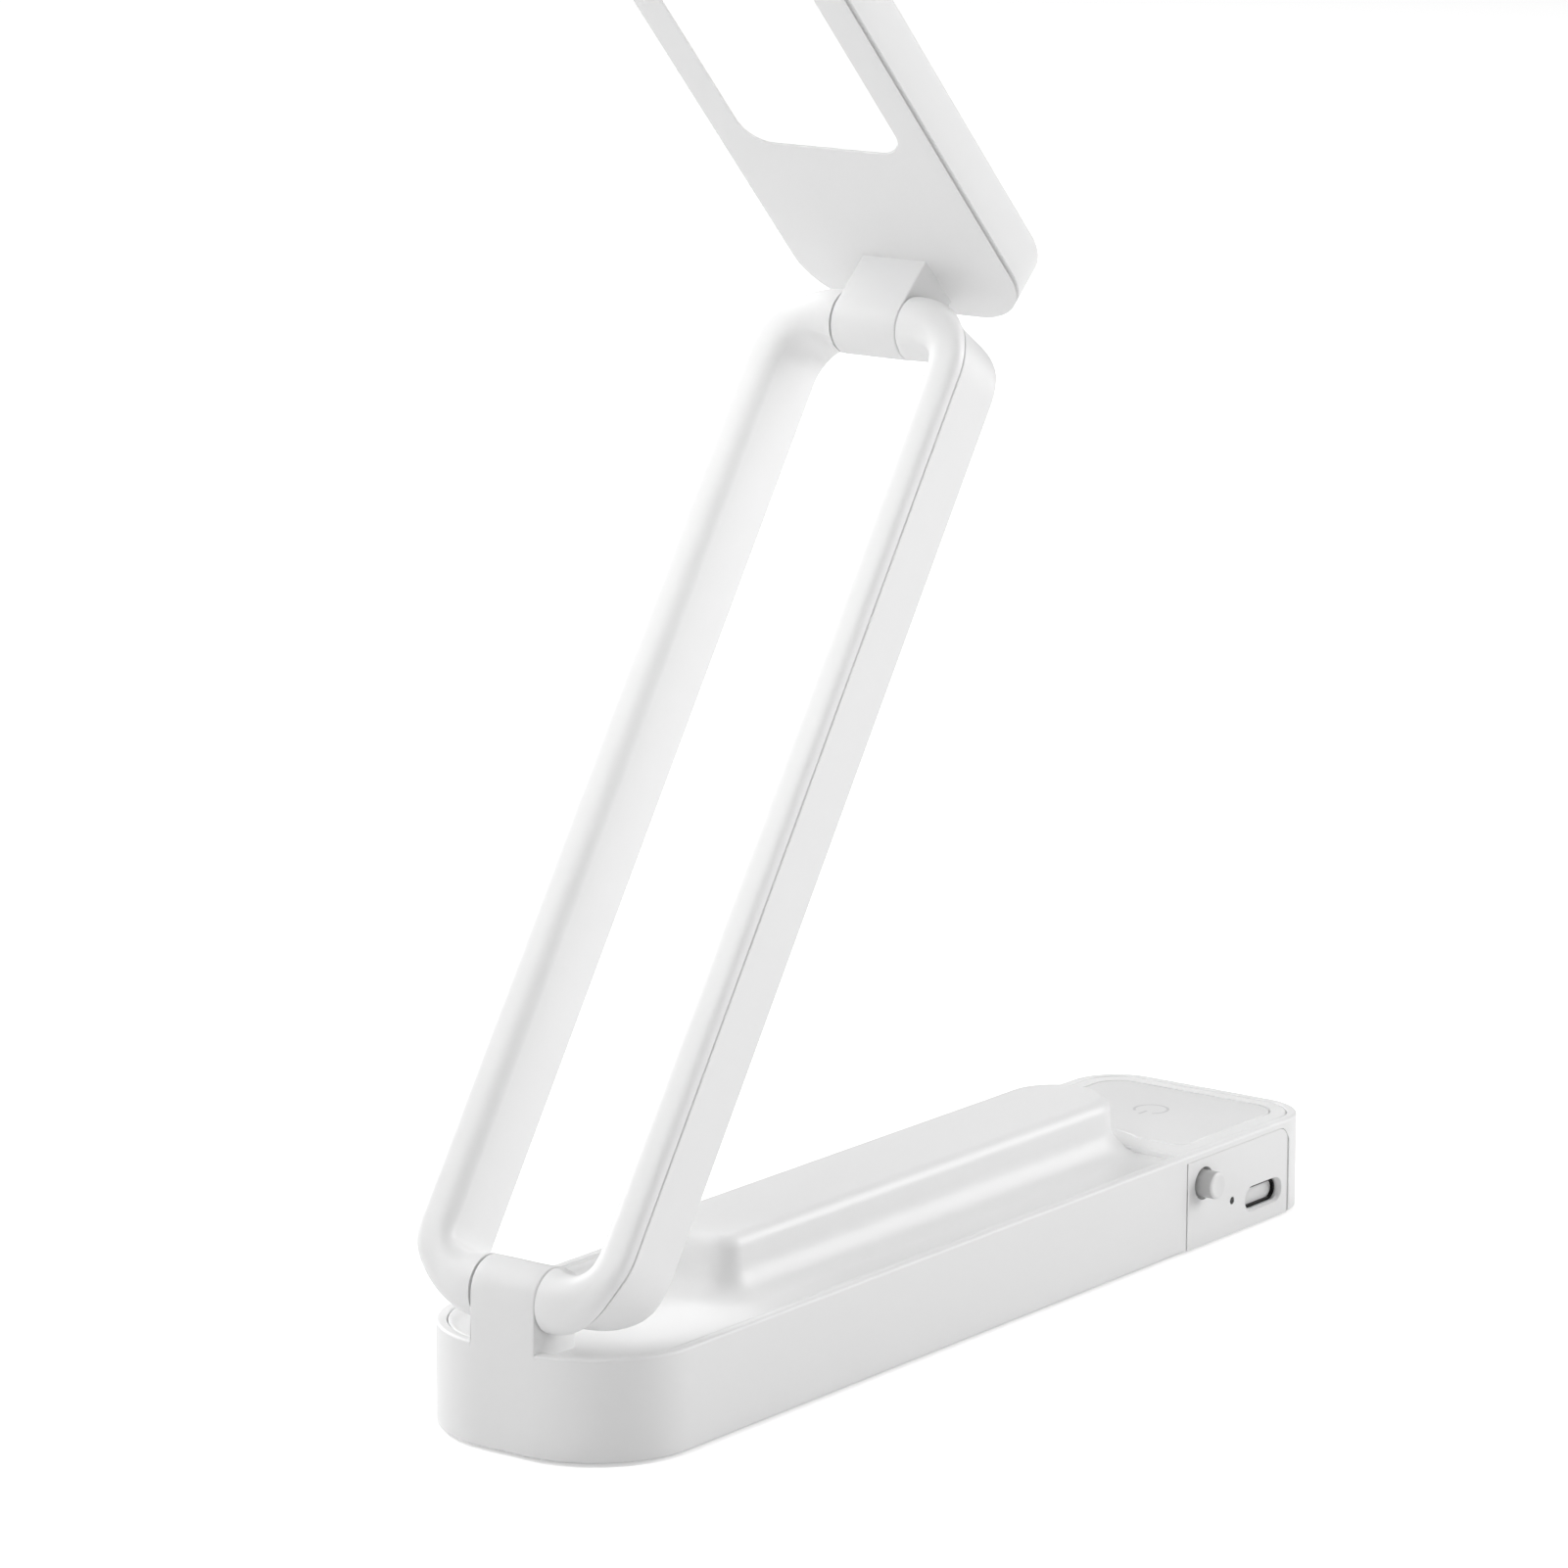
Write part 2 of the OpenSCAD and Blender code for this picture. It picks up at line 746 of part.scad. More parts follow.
module right_rail_rear() {
    color(white) place_arm()
    difference() {
        rail_rear(right_channel_a);
        for (a = arm_screw_spots) translate([a, -rail_y, -rail_back - 1]) {
            cylinder(r = arm_screw_r + seat, h = rail_back + arm_split + 2);
            cylinder(r = 1.7, h = 2.1);
        }
    }
}

module right_rail_front() {
    color(white) place_arm()
    difference() {
        rail_front();
        for (a = arm_screw_spots) translate([a, -rail_y, 0])
            cylinder(r = arm_screw_r + seat, h = arm_split + 1.1);
    }
}

module arm_screws() {
    color(steel)
    place_arm()
    for (a = arm_screw_spots) translate([a, -rail_y, -rail_back + 0.3])
        pan_screw(arm_screw_r, rail_back + arm_split + 0.6, 1.6, 0.8);
}

// A hinge pin with a round head and a length that ends in its nut
module hinge_pin(a) {
    translate([a, 0, 0]) {
        bar_y(pin_r, 2 * pin_half);
        translate([0, -pin_half + pin_head_h / 2, 0]) bar_y(pin_head_r, pin_head_h);
    }
}

module lower_hinge_pin() {
    color(steel) place_arm() hinge_pin(0);
}

module upper_hinge_pin() {
    color(steel) place_arm() hinge_pin(arm_reach);
}

module spring_washers() {
    color(steel)
    place_arm()
    for (a = [0, arm_reach])
        for (s = [-1, 1])
            translate([a, s * (ear_half + washer_t / 2 + seat / 2), 0])
                difference() {
                    bar_y(washer_r, washer_t - seat);
                    bar_y(pin_r + seat, washer_t + 1);
                }
}

module hinge_nuts() {
    color(steel)
    place_arm()
    for (a = [0, arm_reach])
        translate([a, pin_half - pin_head_h / 2, 0])
            difference() {
                rotate([90, 0, 0]) cylinder(r = pin_head_r, h = pin_head_h, center = true, $fn = 6);
                bar_y(pin_r + 0.02, pin_head_h + 1);
            }
}

// Two insulated wires that run up the far rail's channel
module arm_wire() {
    wire_r = 0.6;
    color("black")
    place_arm()
    for (s = [-1, 1])
        translate([left_channel_a + fit, rail_y,
                   -rail_back + arm_wall + seat + wire_r + (s + 1) * wire_r])
            rotate([0, 90, 0])
                cylinder(r = wire_r - seat, h = arm_reach - 2 * left_channel_a - 2 * fit);
}

// ---- head, drawn along -X with its lit face down ----

module place_head() {
    place_arm()
        translate([arm_reach, 0, 0]) rotate([0, arm_angle + head_angle, 0]) children();
}

module head_prism(inset, z0, z1) {
    translate([0, 0, z0]) linear_extrude(z1 - z0)
        round_rect(x_tip + inset, x_tail - inset, head_width - 2 * inset, head_corner_r - inset);
}

module window_prism(grow, z0, z1) {
    translate([0, 0, z0]) linear_extrude(z1 - z0)
        round_rect(x_window1 - grow, x_window0 + grow, window_width + 2 * grow,
                   window_corner_r + grow);
}

module head_shell() {
    color(white)
    place_head()
    difference() {
        head_prism(0, z_shell, z_back);
        head_prism(head_wall, z_shell - 1, z_back - head_wall);
        for (p = head_screw_spots) translate([p[0], p[1], z_shell]) {
            cylinder(r = 1.1, h = head_thick);
            translate([0, 0, z_back - z_shell - 0.9]) cylinder(r = 2, h = 2);
        }
    }
}

module head_bezel() {
    boss_h = z_back - head_wall - fit - z_shell;
    color(white)
    place_head()
    difference() {
        union() {
            head_prism(0, z_face, z_face + rim_lip);
            head_prism(gap_depth, z_face, z_shell - seat);
            head_prism(head_wall + fit, z_face, z_shell + 1);
            block([-barrel_r, -barrel_w / 2, 0], [barrel_r, barrel_w / 2, z_face]);
            bar_y(barrel_r, barrel_w);
            for (p = head_screw_spots) translate([p[0], p[1], z_face]) cylinder(r = 2, h = boss_h + 1);
        }
        window_prism(0, z_face - 1, z_back);
        window_prism(1.2, z_face + 1, z_back);
        bar_y(pin_r + pin_play, barrel_w + 1);
        for (p = head_screw_spots) translate([p[0], p[1], z_face + 0.6])
            cylinder(r = screw_r + seat, h = head_thick);
    }
}

module diffuser() {
    color(milk)
    place_head()
    union() {
        window_prism(-0.08, z_face + 0.15, z_face + 1 + eps);
        window_prism(1.1, z_face + 1, z_face + diffuser_thick);
    }
}

module reflector_frame() {
    color([0.97, 0.97, 0.97])
    place_head()
    difference() {
        window_prism(frame_wall, z_face + diffuser_thick + seat, z_back - head_wall - 1.2);
        window_prism(0.1, z_face, z_back);
    }
}

module led_board() {
    color([0.9, 0.92, 0.92])
    place_head()
    window_prism(1.1, z_back - head_wall - 1.1, z_back - head_wall - seat);
}

// Rows of light-emitting chips on the board's lit side
module leds() {
    pitch = 9;
    count = floor((window_length - 14) / pitch) + 1;
    color([1, 0.9, 0.55])
    place_head()
    for (i = [0 : count - 1])
        for (s = [-1, 1])
            translate([x_window0 - 7 - i * pitch, s * window_width / 4, z_back - head_wall - 1.15])
                translate([-1.4, -1.75, -0.65]) cube([2.8, 3.5, 0.65]);
}

module head_wire() {
    color("black")
    place_head()
    for (s = [-1, 1])
        translate([x_window0 + frame_wall + fit, s * 0.8, z_shell + 1.8]) rotate([0, 90, 0])
            cylinder(r = 0.6, h = window_start - frame_wall - 3);
}

module head_screws() {
    length = head_thick - rim_lip - gap_h - 0.2;
    color(steel)
    place_head()
    for (p = head_screw_spots)
        translate([p[0], p[1], z_back - 0.1]) mirror([0, 0, 1]) pan_screw(screw_r, length - 0.8, 1.8, 0.75);
}

base_shell();
top_deck();
base_cover();
grip_pad();
cover_screws();
side_panel();
touch_pad();
touch_spring();
control_board();
board_chips();
usb_socket();
usb_tongue();
switch_body();
indicator_lens();
battery_cell();
battery_tabs();
power_button();
switch_plunger();
left_rail_rear();
left_rail_front();
right_rail_rear();
right_rail_front();
lower_hinge_pin();
upper_hinge_pin();
spring_washers();
hinge_nuts();
arm_wire();
arm_screws();
head_shell();
head_bezel();
diffuser();
reflector_frame();
led_board();
leds();
head_wire();
head_screws();
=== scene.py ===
"""A folding desk lamp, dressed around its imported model.

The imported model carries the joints, the inner pieces and the small hardware. This script adds
the visible mouldings as surfaces worked out with numpy, gives every piece its finish, and sets
up a plain studio. All lengths in the classes are millimetres, and metres once they are in a mesh.
"""

import logging
import math
from dataclasses import dataclass, field
from enum import Enum
from typing import Callable, Sequence

import bmesh
import bpy
import numpy as np
from mathutils import Matrix, Vector

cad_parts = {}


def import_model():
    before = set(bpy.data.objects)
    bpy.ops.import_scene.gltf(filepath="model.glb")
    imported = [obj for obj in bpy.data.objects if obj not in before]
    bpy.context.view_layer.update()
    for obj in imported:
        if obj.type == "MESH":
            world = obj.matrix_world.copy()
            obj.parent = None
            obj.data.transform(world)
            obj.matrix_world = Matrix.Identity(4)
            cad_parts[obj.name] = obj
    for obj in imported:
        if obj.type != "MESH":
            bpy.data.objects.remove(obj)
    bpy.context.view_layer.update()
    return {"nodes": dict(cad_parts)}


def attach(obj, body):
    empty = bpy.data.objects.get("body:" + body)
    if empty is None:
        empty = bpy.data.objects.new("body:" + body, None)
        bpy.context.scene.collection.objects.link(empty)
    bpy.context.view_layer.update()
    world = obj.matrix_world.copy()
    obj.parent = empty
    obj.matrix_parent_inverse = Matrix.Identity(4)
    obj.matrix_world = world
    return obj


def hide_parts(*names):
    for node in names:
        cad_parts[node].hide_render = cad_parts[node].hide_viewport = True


LOG = logging.getLogger("lamp")
MM = 0.001
MERGE_DISTANCE = 1.5e-6
TINY_EDGE = 1e-7
CRISP_ANGLE = 32.0

Array = np.ndarray
Place = Callable[[Array], Array]


# ---------------------------------------------------------------- lines and arcs


def arc(cx: float, cy: float, r: float, a0: float, a1: float, n: int) -> Array:
    """Points on a circle's arc: centre plus r times (cos, sin) of evenly spaced angles.

    Args:
        cx, cy: centre.
        r: radius.
        a0, a1: first and last angle in degrees.
        n: number of points.

    Returns:
        (n, 2) points.
    """
    t = np.radians(np.linspace(a0, a1, n))
    return np.stack([cx + r * np.cos(t), cy + r * np.sin(t)], -1)


def eased(a: float, b: float, n: int) -> Array:
    """n values from a to b, packed closer at both ends: a + (b - a) * (1 - cos(pi t)) / 2."""
    t = np.linspace(0, math.pi, n)
    return a + (b - a) * (1 - np.cos(t)) / 2


def smoothstep(t: Array) -> Array:
    """The cubic 3 t^2 - 2 t^3 of t held between 0 and 1."""
    t = np.clip(t, 0, 1)
    return t * t * (3 - 2 * t)


def plan_ring(x0: float, x1: float, half: float, r0: float, r1: float, inset: float,
              n: int = 16, side: int = 6) -> Array:
    """A rectangle's outline with round corners, moved inwards, with the same count at any inset.

    Each corner is an arc about its own centre whose radius shrinks with the inset, down to a
    point, and the sides between two corners are cut into equal steps.

    Args:
        x0, x1: low and high end along X.
        half: half the width along Y.
        r0, r1: corner radius at the low and the high end.
        inset: how far the outline moves inwards.
        n: points on each corner.
        side: points on each side between corners.

    Returns:
        (m, 2) points, anticlockwise from the low end's -Y corner.
    """
    plan = ((x0, -half, r0, 180), (x1, -half, r1, 270), (x1, half, r1, 0), (x0, half, r0, 90))
    corners = []
    for x, y, r, a in plan:
        reach = max(r, inset)
        cx = x + reach if x == x0 else x - reach
        cy = y + reach if y < 0 else y - reach
        corners.append(arc(cx, cy, max(r - inset, 0.0), a, a + 90, n))
    parts = []
    for k, corner in enumerate(corners):
        after = corners[(k + 1) % 4][0]
        t = np.linspace(0, 1, side + 2)[1:-1, None]
        parts += [corner, corner[-1] * (1 - t) + after * t]
    return np.concatenate(parts)


def level_rings(outline: Callable[[float], Array], profile: Sequence[Sequence[float]]) -> Array:
    """Rings of a flat outline, one at each of a profile's insets and heights.

    Args:
        outline: gives (m, 2) points for an inset.
        profile: n pairs of inset and height.

    Returns:
        (n, m, 3) rings.
    """
    rings = []
    for inset, z in profile:
        ring = outline(inset)
        rings.append(np.column_stack([ring, np.full(len(ring), z)]))
    return np.array(rings)


def soft_edge(inset: float, low: float, high: float, soft: float, n: int) -> Array:
    """A wall from low up to a quarter round of radius soft, which ends level at high."""
    wall = [[inset, low], [inset, high - soft]]
    return np.concatenate([wall, arc(inset + soft, high - soft, soft, 180, 90, n)])


def barrel_end(half: float, r: float) -> list[tuple[float, float]]:
    """A barrel's rounded end: half - r + r sin t across, and r (1 - cos t) of shrink."""
    return [(half - r + r * math.sin(t), r * (1 - math.cos(t)))
            for t in np.linspace(0, math.pi / 2, 7)]


# ---------------------------------------------------------------- meshes


@dataclass
class Solid:
    """Vertices and faces of one or more closed surfaces, in millimetres in the row frame."""

    verts: list[Array] = field(default_factory=list)
    faces: list[list[int]] = field(default_factory=list)
    count: int = 0

    def add(self, verts: Array, faces: list[list[int]]) -> None:
        """Adds one surface.

        Args:
            verts: (n, 3) points.
            faces: lists of indices into verts.
        """
        self.faces += [[i + self.count for i in f] for f in faces]
        self.verts.append(verts)
        self.count += len(verts)

    def loft(self, rings: Array, caps: bool = True) -> None:
        """Joins closed rings into a skin: each quad spans two neighbours on two rings.

        Args:
            rings: (rows, columns, 3) points.
            caps: whether the first and the last ring are filled.
        """
        rows, cols = rings.shape[:2]
        idx = np.arange(rows * cols).reshape(rows, cols)
        nxt = np.roll(idx, -1, 1)
        faces = np.stack([idx[:-1], nxt[:-1], nxt[1:], idx[1:]], -1).reshape(-1, 4).tolist()
        if caps:
            faces += [idx[0][::-1].tolist(), idx[-1].tolist()]
        self.add(rings.reshape(-1, 3), faces)

    def sheet(self, grid: Array) -> None:
        """Adds a grid that closes on itself both ways, such as a tube bent into a loop.

        Args:
            grid: (rows, columns, 3) points.
        """
        rows, cols = grid.shape[:2]
        idx = np.arange(rows * cols).reshape(rows, cols)
        down = np.roll(idx, -1, 0)
        quads = np.stack([idx, np.roll(idx, -1, 1), np.roll(down, -1, 1), down], -1)
        self.add(grid.reshape(-1, 3), quads.reshape(-1, 4).tolist())


def build_object(name: str, solid: Solid) -> bpy.types.Object:
    """Makes a mesh object from a solid, with doubles merged and normals outwards.

    Args:
        name: the piece's name.
        solid: its surfaces, in millimetres.

    Returns:
        The object, at the origin.
    """
    mesh = bpy.data.meshes.new(name)
    mesh.from_pydata((np.concatenate(solid.verts) * MM).tolist(), [], solid.faces)
    bm = bmesh.new()
    bm.from_mesh(mesh)
    bmesh.ops.remove_doubles(bm, verts=bm.verts, dist=MERGE_DISTANCE)
    bmesh.ops.dissolve_degenerate(bm, edges=bm.edges, dist=TINY_EDGE)
    bmesh.ops.recalc_face_normals(bm, faces=bm.faces)
    bm.to_mesh(mesh)
    bm.free()
    obj = bpy.data.objects.new(name, mesh)
    bpy.context.scene.collection.objects.link(obj)
    shade(mesh)
    return obj


def shade(mesh: bpy.types.Mesh) -> None:
    """Shades a mesh smooth, with edges past the crisp angle kept."""
    mesh.polygons.foreach_set("use_smooth", np.ones(len(mesh.polygons), bool))
    mesh.set_sharp_from_angle(angle=math.radians(CRISP_ANGLE))
    mesh.update()


def combine(obj: bpy.types.Object, other: Solid, operation: str) -> None:
    """Joins a solid to an object's mesh or cuts it out, and keeps the result as its mesh.

    Args:
        obj: the object.
        other: what is joined or cut away.
        operation: UNION or DIFFERENCE.
    """
    tool = build_object(obj.name + "_tool", other)
    mod = obj.modifiers.new("combine", "BOOLEAN")
    mod.operation = operation
    mod.solver = "EXACT"
    mod.object = tool
    bpy.context.view_layer.update()
    graph = bpy.context.evaluated_depsgraph_get()
    made = bpy.data.meshes.new_from_object(obj.evaluated_get(graph))
    obj.modifiers.remove(mod)
    old, obj.data = obj.data, made
    bpy.data.meshes.remove(old)
    made.name = obj.name
    bpy.data.objects.remove(tool)
    shade(made)


def lathe(profile: Array, place: Place, n: int = 64) -> Array:
    """Turns a profile about its axis: (r cos t, r sin t, h) for t once round.

    Args:
        profile: (m, 2) radius and height.
        place: puts local points in the row frame.
        n: points round.

    Returns:
        (m, n, 3) rings.
    """
    t = np.linspace(0, 2 * math.pi, n, endpoint=False)
    r, h = profile[:, :1], profile[:, 1:]
    return place(np.stack([r * np.cos(t), r * np.sin(t), h + 0 * t], -1))


# ---------------------------------------------------------------- shader groups


def noise_node(tree: bpy.types.NodeTree, vector: bpy.types.NodeSocket, scale: float,
               detail: float) -> bpy.types.Node:
    """A noise texture on the given coordinates.

    Args:
        tree: where it goes.
        vector: coordinates.
        scale: its scale.
        detail: its detail.

    Returns:
        The node.
    """
    node = tree.nodes.new("ShaderNodeTexNoise")
    node.inputs["Scale"].default_value = scale
    node.inputs["Detail"].default_value = detail
    tree.links.new(vector, node.inputs["Vector"])
    return node


def math_node(tree: bpy.types.NodeTree, op: str, *inputs: object) -> bpy.types.NodeSocket:
    """A Math node on sockets and numbers.

    Args:
        tree: where it goes.
        op: the operation.
        inputs: a socket or a number for each input.

    Returns:
        Its output.
    """
    node = tree.nodes.new("ShaderNodeMath")
    node.operation = op
    for k, value in enumerate(inputs):
        if isinstance(value, (int, float)):
            node.inputs[k].default_value = value
        else:
            tree.links.new(value, node.inputs[k])
    return node.outputs[0]


def overlay(tree: bpy.types.NodeTree, mask: bpy.types.NodeSocket, under: bpy.types.NodeSocket,
            over: tuple[float, float, float]) -> bpy.types.NodeSocket:
    """Lays one colour over another where a mask is 1.

    Args:
        tree: where the mix goes.
        mask: 0 to 1.
        under: the colour below.
        over: the colour on top.

    Returns:
        The mixed colour.
    """
    mix = tree.nodes.new("ShaderNodeMix")
    mix.data_type = "RGBA"
    tree.links.new(mask, mix.inputs["Factor"])
    tree.links.new(under, mix.inputs["A"])
    mix.inputs["B"].default_value = (*over, 1)
    return mix.outputs["Result"]


class Groups:
    """The shader groups that several finishes use, each built once."""

    INPUTS = (("Vector", "NodeSocketVector", None),
              ("Colour", "NodeSocketColor", (0.8, 0.8, 0.8, 1)),
              ("Tone Amount", "NodeSocketFloat", 0.02),
              ("Grain Scale", "NodeSocketFloat", 3000.0),
              ("Gloss", "NodeSocketFloat", 0.4),
              ("Gloss Spread", "NodeSocketFloat", 0.06))
    OUTPUTS = (("Colour", "NodeSocketColor"),
               ("Roughness", "NodeSocketFloat"),
               ("Height", "NodeSocketFloat"))
    DRIFT_SCALE, DRIFT_DETAIL, DRIFT_SHARE = 38.0, 3.0, 0.7
    PATCH_SCALE, PATCH_DETAIL, PATCH_SHARE = 420.0, 4.0, 0.3
    SPARK_DETAIL = 2.0

    _built: dict[str, bpy.types.NodeTree] = {}

    @classmethod
    def grain(cls) -> bpy.types.NodeTree:
        """Moulding grain: a slow drift of tone, a fine spark texture and a patchy gloss.

        Returns:
            The group, with outputs Colour, Roughness and Height.
        """
        if "grain" in cls._built:
            return cls._built["grain"]
        g = bpy.data.node_groups.new("mould_grain", "ShaderNodeTree")
        for name, kind, value in cls.INPUTS:
            socket = g.interface.new_socket(name=name, in_out="INPUT", socket_type=kind)
            if value is not None:
                socket.default_value = value
        for name, kind in cls.OUTPUTS:
            g.interface.new_socket(name=name, in_out="OUTPUT", socket_type=kind)
        io_in = g.nodes.new("NodeGroupInput")
        io_out = g.nodes.new("NodeGroupOutput")
        vec = io_in.outputs["Vector"]
        drift = noise_node(g, vec, cls.DRIFT_SCALE, cls.DRIFT_DETAIL)
        patch = noise_node(g, vec, cls.PATCH_SCALE, cls.PATCH_DETAIL)
        spark = noise_node(g, vec, 1.0, cls.SPARK_DETAIL)
        g.links.new(io_in.outputs["Grain Scale"], spark.inputs["Scale"])
        both = math_node(g, "ADD",
                         math_node(g, "MULTIPLY", drift.outputs["Fac"], cls.DRIFT_SHARE),
                         math_node(g, "MULTIPLY", patch.outputs["Fac"], cls.PATCH_SHARE))
        swing = math_node(g, "MULTIPLY", math_node(g, "SUBTRACT", both, 0.5),
                          io_in.outputs["Tone Amount"])
        factor = math_node(g, "ADD", math_node(g, "MULTIPLY", swing, 2.0), 1.0)
        scale = g.nodes.new("ShaderNodeVectorMath")
        scale.operation = "SCALE"
        g.links.new(io_in.outputs["Colour"], scale.inputs[0])
        g.links.new(factor, scale.inputs["Scale"])
        g.links.new(scale.outputs[0], io_out.inputs["Colour"])
        spread = math_node(g, "MULTIPLY", math_node(g, "SUBTRACT", patch.outputs["Fac"], 0.5),
                           io_in.outputs["Gloss Spread"])
        fine = math_node(g, "MULTIPLY", math_node(g, "SUBTRACT", spark.outputs["Fac"], 0.5),
                         io_in.outputs["Gloss Spread"])
        rough = math_node(g, "ADD", io_in.outputs["Gloss"], math_node(g, "ADD", spread, fine))
        g.links.new(rough, io_out.inputs["Roughness"])
        g.links.new(spark.outputs["Fac"], io_out.inputs["Height"])
        cls._built["grain"] = g
        return g


# ---------------------------------------------------------------- finishes


BRUSHED_STRETCH = (1.0, 1.0, 0.12)
PLASTIC_IOR = 1.49
RUBBER_SPECULAR = 0.25
MARK_X, MARK_R, MARK_LINE = 71.5, 2.6, 0.22
MARK_WEDGE = -0.75
MARK_BAR_X, MARK_BAR_HALF = 2.3, 1.1
MARK_STRENGTH, MARK_COLOUR = 0.55, (0.50, 0.50, 0.51)
TIP_FROM, TIP_RISE = 22.25, 5.0


class Look(Enum):
    """The kinds of surface that a finish can be."""

    PLASTIC = "plastic"
    METAL = "metal"
    RUBBER = "rubber"


@dataclass(frozen=True)
class Finish:
    """One finish: a colour with moulding grain, gloss and bump in its own material."""

    name: str
    colour: tuple[float, float, float]
    look: Look = Look.PLASTIC
    gloss: float = 0.42
    spread: float = 0.05
    tone: float = 0.015
    grain: float = 3200.0
    bump: float = 0.12
    depth: float = 0.02
    glow: float = 0.0
    # tip: the button end's own pale tone; with it, the darker colour is painted shade on the sides.
    tip: float = 0.0
    mark: bool = False

    def material(self) -> bpy.types.Material:
        """Builds the material once and returns it.

        Returns:
            The material.
        """
        known = bpy.data.materials.get(self.name)
        if known:
            return known
        mat = bpy.data.materials.new(self.name)
        mat.use_nodes = True
        tree = mat.node_tree
        shader = tree.nodes["Principled BSDF"]
        coords = tree.nodes.new("ShaderNodeTexCoord")
        vector = coords.outputs["Object"]
        if self.look is Look.METAL:
            stretch = tree.nodes.new("ShaderNodeMapping")
            stretch.inputs["Scale"].default_value = BRUSHED_STRETCH
            tree.links.new(vector, stretch.inputs["Vector"])
            vector = stretch.outputs["Vector"]
        group = tree.nodes.new("ShaderNodeGroup")
        group.node_tree = Groups.grain()
        tree.links.new(vector, group.inputs["Vector"])
        group.inputs["Colour"].default_value = (*self.colour, 1)
        group.inputs["Tone Amount"].default_value = self.tone
        group.inputs["Grain Scale"].default_value = self.grain
        group.inputs["Gloss"].default_value = self.gloss
        group.inputs["Gloss Spread"].default_value = self.spread
        colour = group.outputs["Colour"]
        if self.mark:
            colour = self.printed_mark(tree, coords.outputs["Object"], colour)
        # On the button the darker colour is painted shade on the sides, and the tip tone is its
        # own.
        if self.tip:
            colour = self.tip_over_painted_shade(tree, coords.outputs["Object"], colour)
        tree.links.new(colour, shader.inputs["Base Color"])
        tree.links.new(group.outputs["Roughness"], shader.inputs["Roughness"])
        bump = tree.nodes.new("ShaderNodeBump")
        bump.inputs["Strength"].default_value = self.bump
        bump.inputs["Distance"].default_value = self.depth * MM
        tree.links.new(group.outputs["Height"], bump.inputs["Height"])
        tree.links.new(bump.outputs["Normal"], shader.inputs["Normal"])
        shader.inputs["IOR"].default_value = PLASTIC_IOR
        if self.look is Look.METAL:
            shader.inputs["Metallic"].default_value = 1.0
        if self.look is Look.RUBBER:
            shader.inputs["Specular IOR Level"].default_value = RUBBER_SPECULAR
        if self.glow:
            shader.inputs["Emission Color"].default_value = (1.0, 1.0, 1.0, 1)
            shader.inputs["Emission Strength"].default_value = self.glow
        return mat

    def printed_mark(self, tree: bpy.types.NodeTree, vector: bpy.types.NodeSocket,
                     colour: bpy.types.NodeSocket) -> bpy.types.NodeSocket:
        """Prints a faint generic power mark, a ring with a gap and a bar, on the touch plate.

        The ring is where the distance to the mark's centre is near its radius, less a wedge
        towards the hinge end, and the bar is a thin box in that gap.

        Args:
            tree: the material's tree.
            vector: object coordinates.
            colour: the colour under the print.

        Returns:
            The colour with the print.
        """
        split = tree.nodes.new("ShaderNodeSeparateXYZ")
        tree.links.new(vector, split.inputs[0])
        x = math_node(tree, "SUBTRACT", split.outputs["X"], MARK_X * MM)
        y = split.outputs["Y"]
        side = math_node(tree, "ABSOLUTE", y)
        r = math_node(tree, "SQRT", math_node(tree, "ADD", math_node(tree, "MULTIPLY", x, x),
                                              math_node(tree, "MULTIPLY", y, y)))
        off = math_node(tree, "ABSOLUTE", math_node(tree, "SUBTRACT", r, MARK_R * MM))
        ring = math_node(tree, "LESS_THAN", off, MARK_LINE * MM)
        wedge = math_node(tree, "GREATER_THAN", side, math_node(tree, "MULTIPLY", x, MARK_WEDGE))
        ring = math_node(tree, "MULTIPLY", ring, wedge)
        bar_y = math_node(tree, "LESS_THAN", side, MARK_LINE * MM)
        along = math_node(tree, "ABSOLUTE", math_node(tree, "ADD", x, MARK_BAR_X * MM))
        bar_x = math_node(tree, "LESS_THAN", along, MARK_BAR_HALF * MM)
        bar = math_node(tree, "MULTIPLY", bar_y, bar_x)
        mask = math_node(tree, "MULTIPLY", math_node(tree, "MAXIMUM", ring, bar), MARK_STRENGTH)
        return overlay(tree, mask, colour, MARK_COLOUR)

    def tip_over_painted_shade(self, tree: bpy.types.NodeTree, vector: bpy.types.NodeSocket,
                 colour: bpy.types.NodeSocket) -> bpy.types.NodeSocket:
        """Paints shade on the button's sides: they keep the darker colour as painted shade, and the
        tip's own pale tone fades in from TIP_FROM along -Y.

        Args:
            tree: the material's tree.
            vector: object coordinates.
            colour: the colour of the sides, darkened as painted shade.

        Returns:
            The colour with the pale end over the painted shade of the sides.
        """
        split = tree.nodes.new("ShaderNodeSeparateXYZ")
        tree.links.new(vector, split.inputs[0])
        out = math_node(tree, "MULTIPLY", split.outputs["Y"], -1 / MM)
        past = math_node(tree, "MULTIPLY", math_node(tree, "SUBTRACT", out, TIP_FROM), TIP_RISE)
        mask = math_node(tree, "MINIMUM", math_node(tree, "MAXIMUM", past, 0.0), 1.0)
        return overlay(tree, mask, colour, (self.tip, self.tip, self.tip))


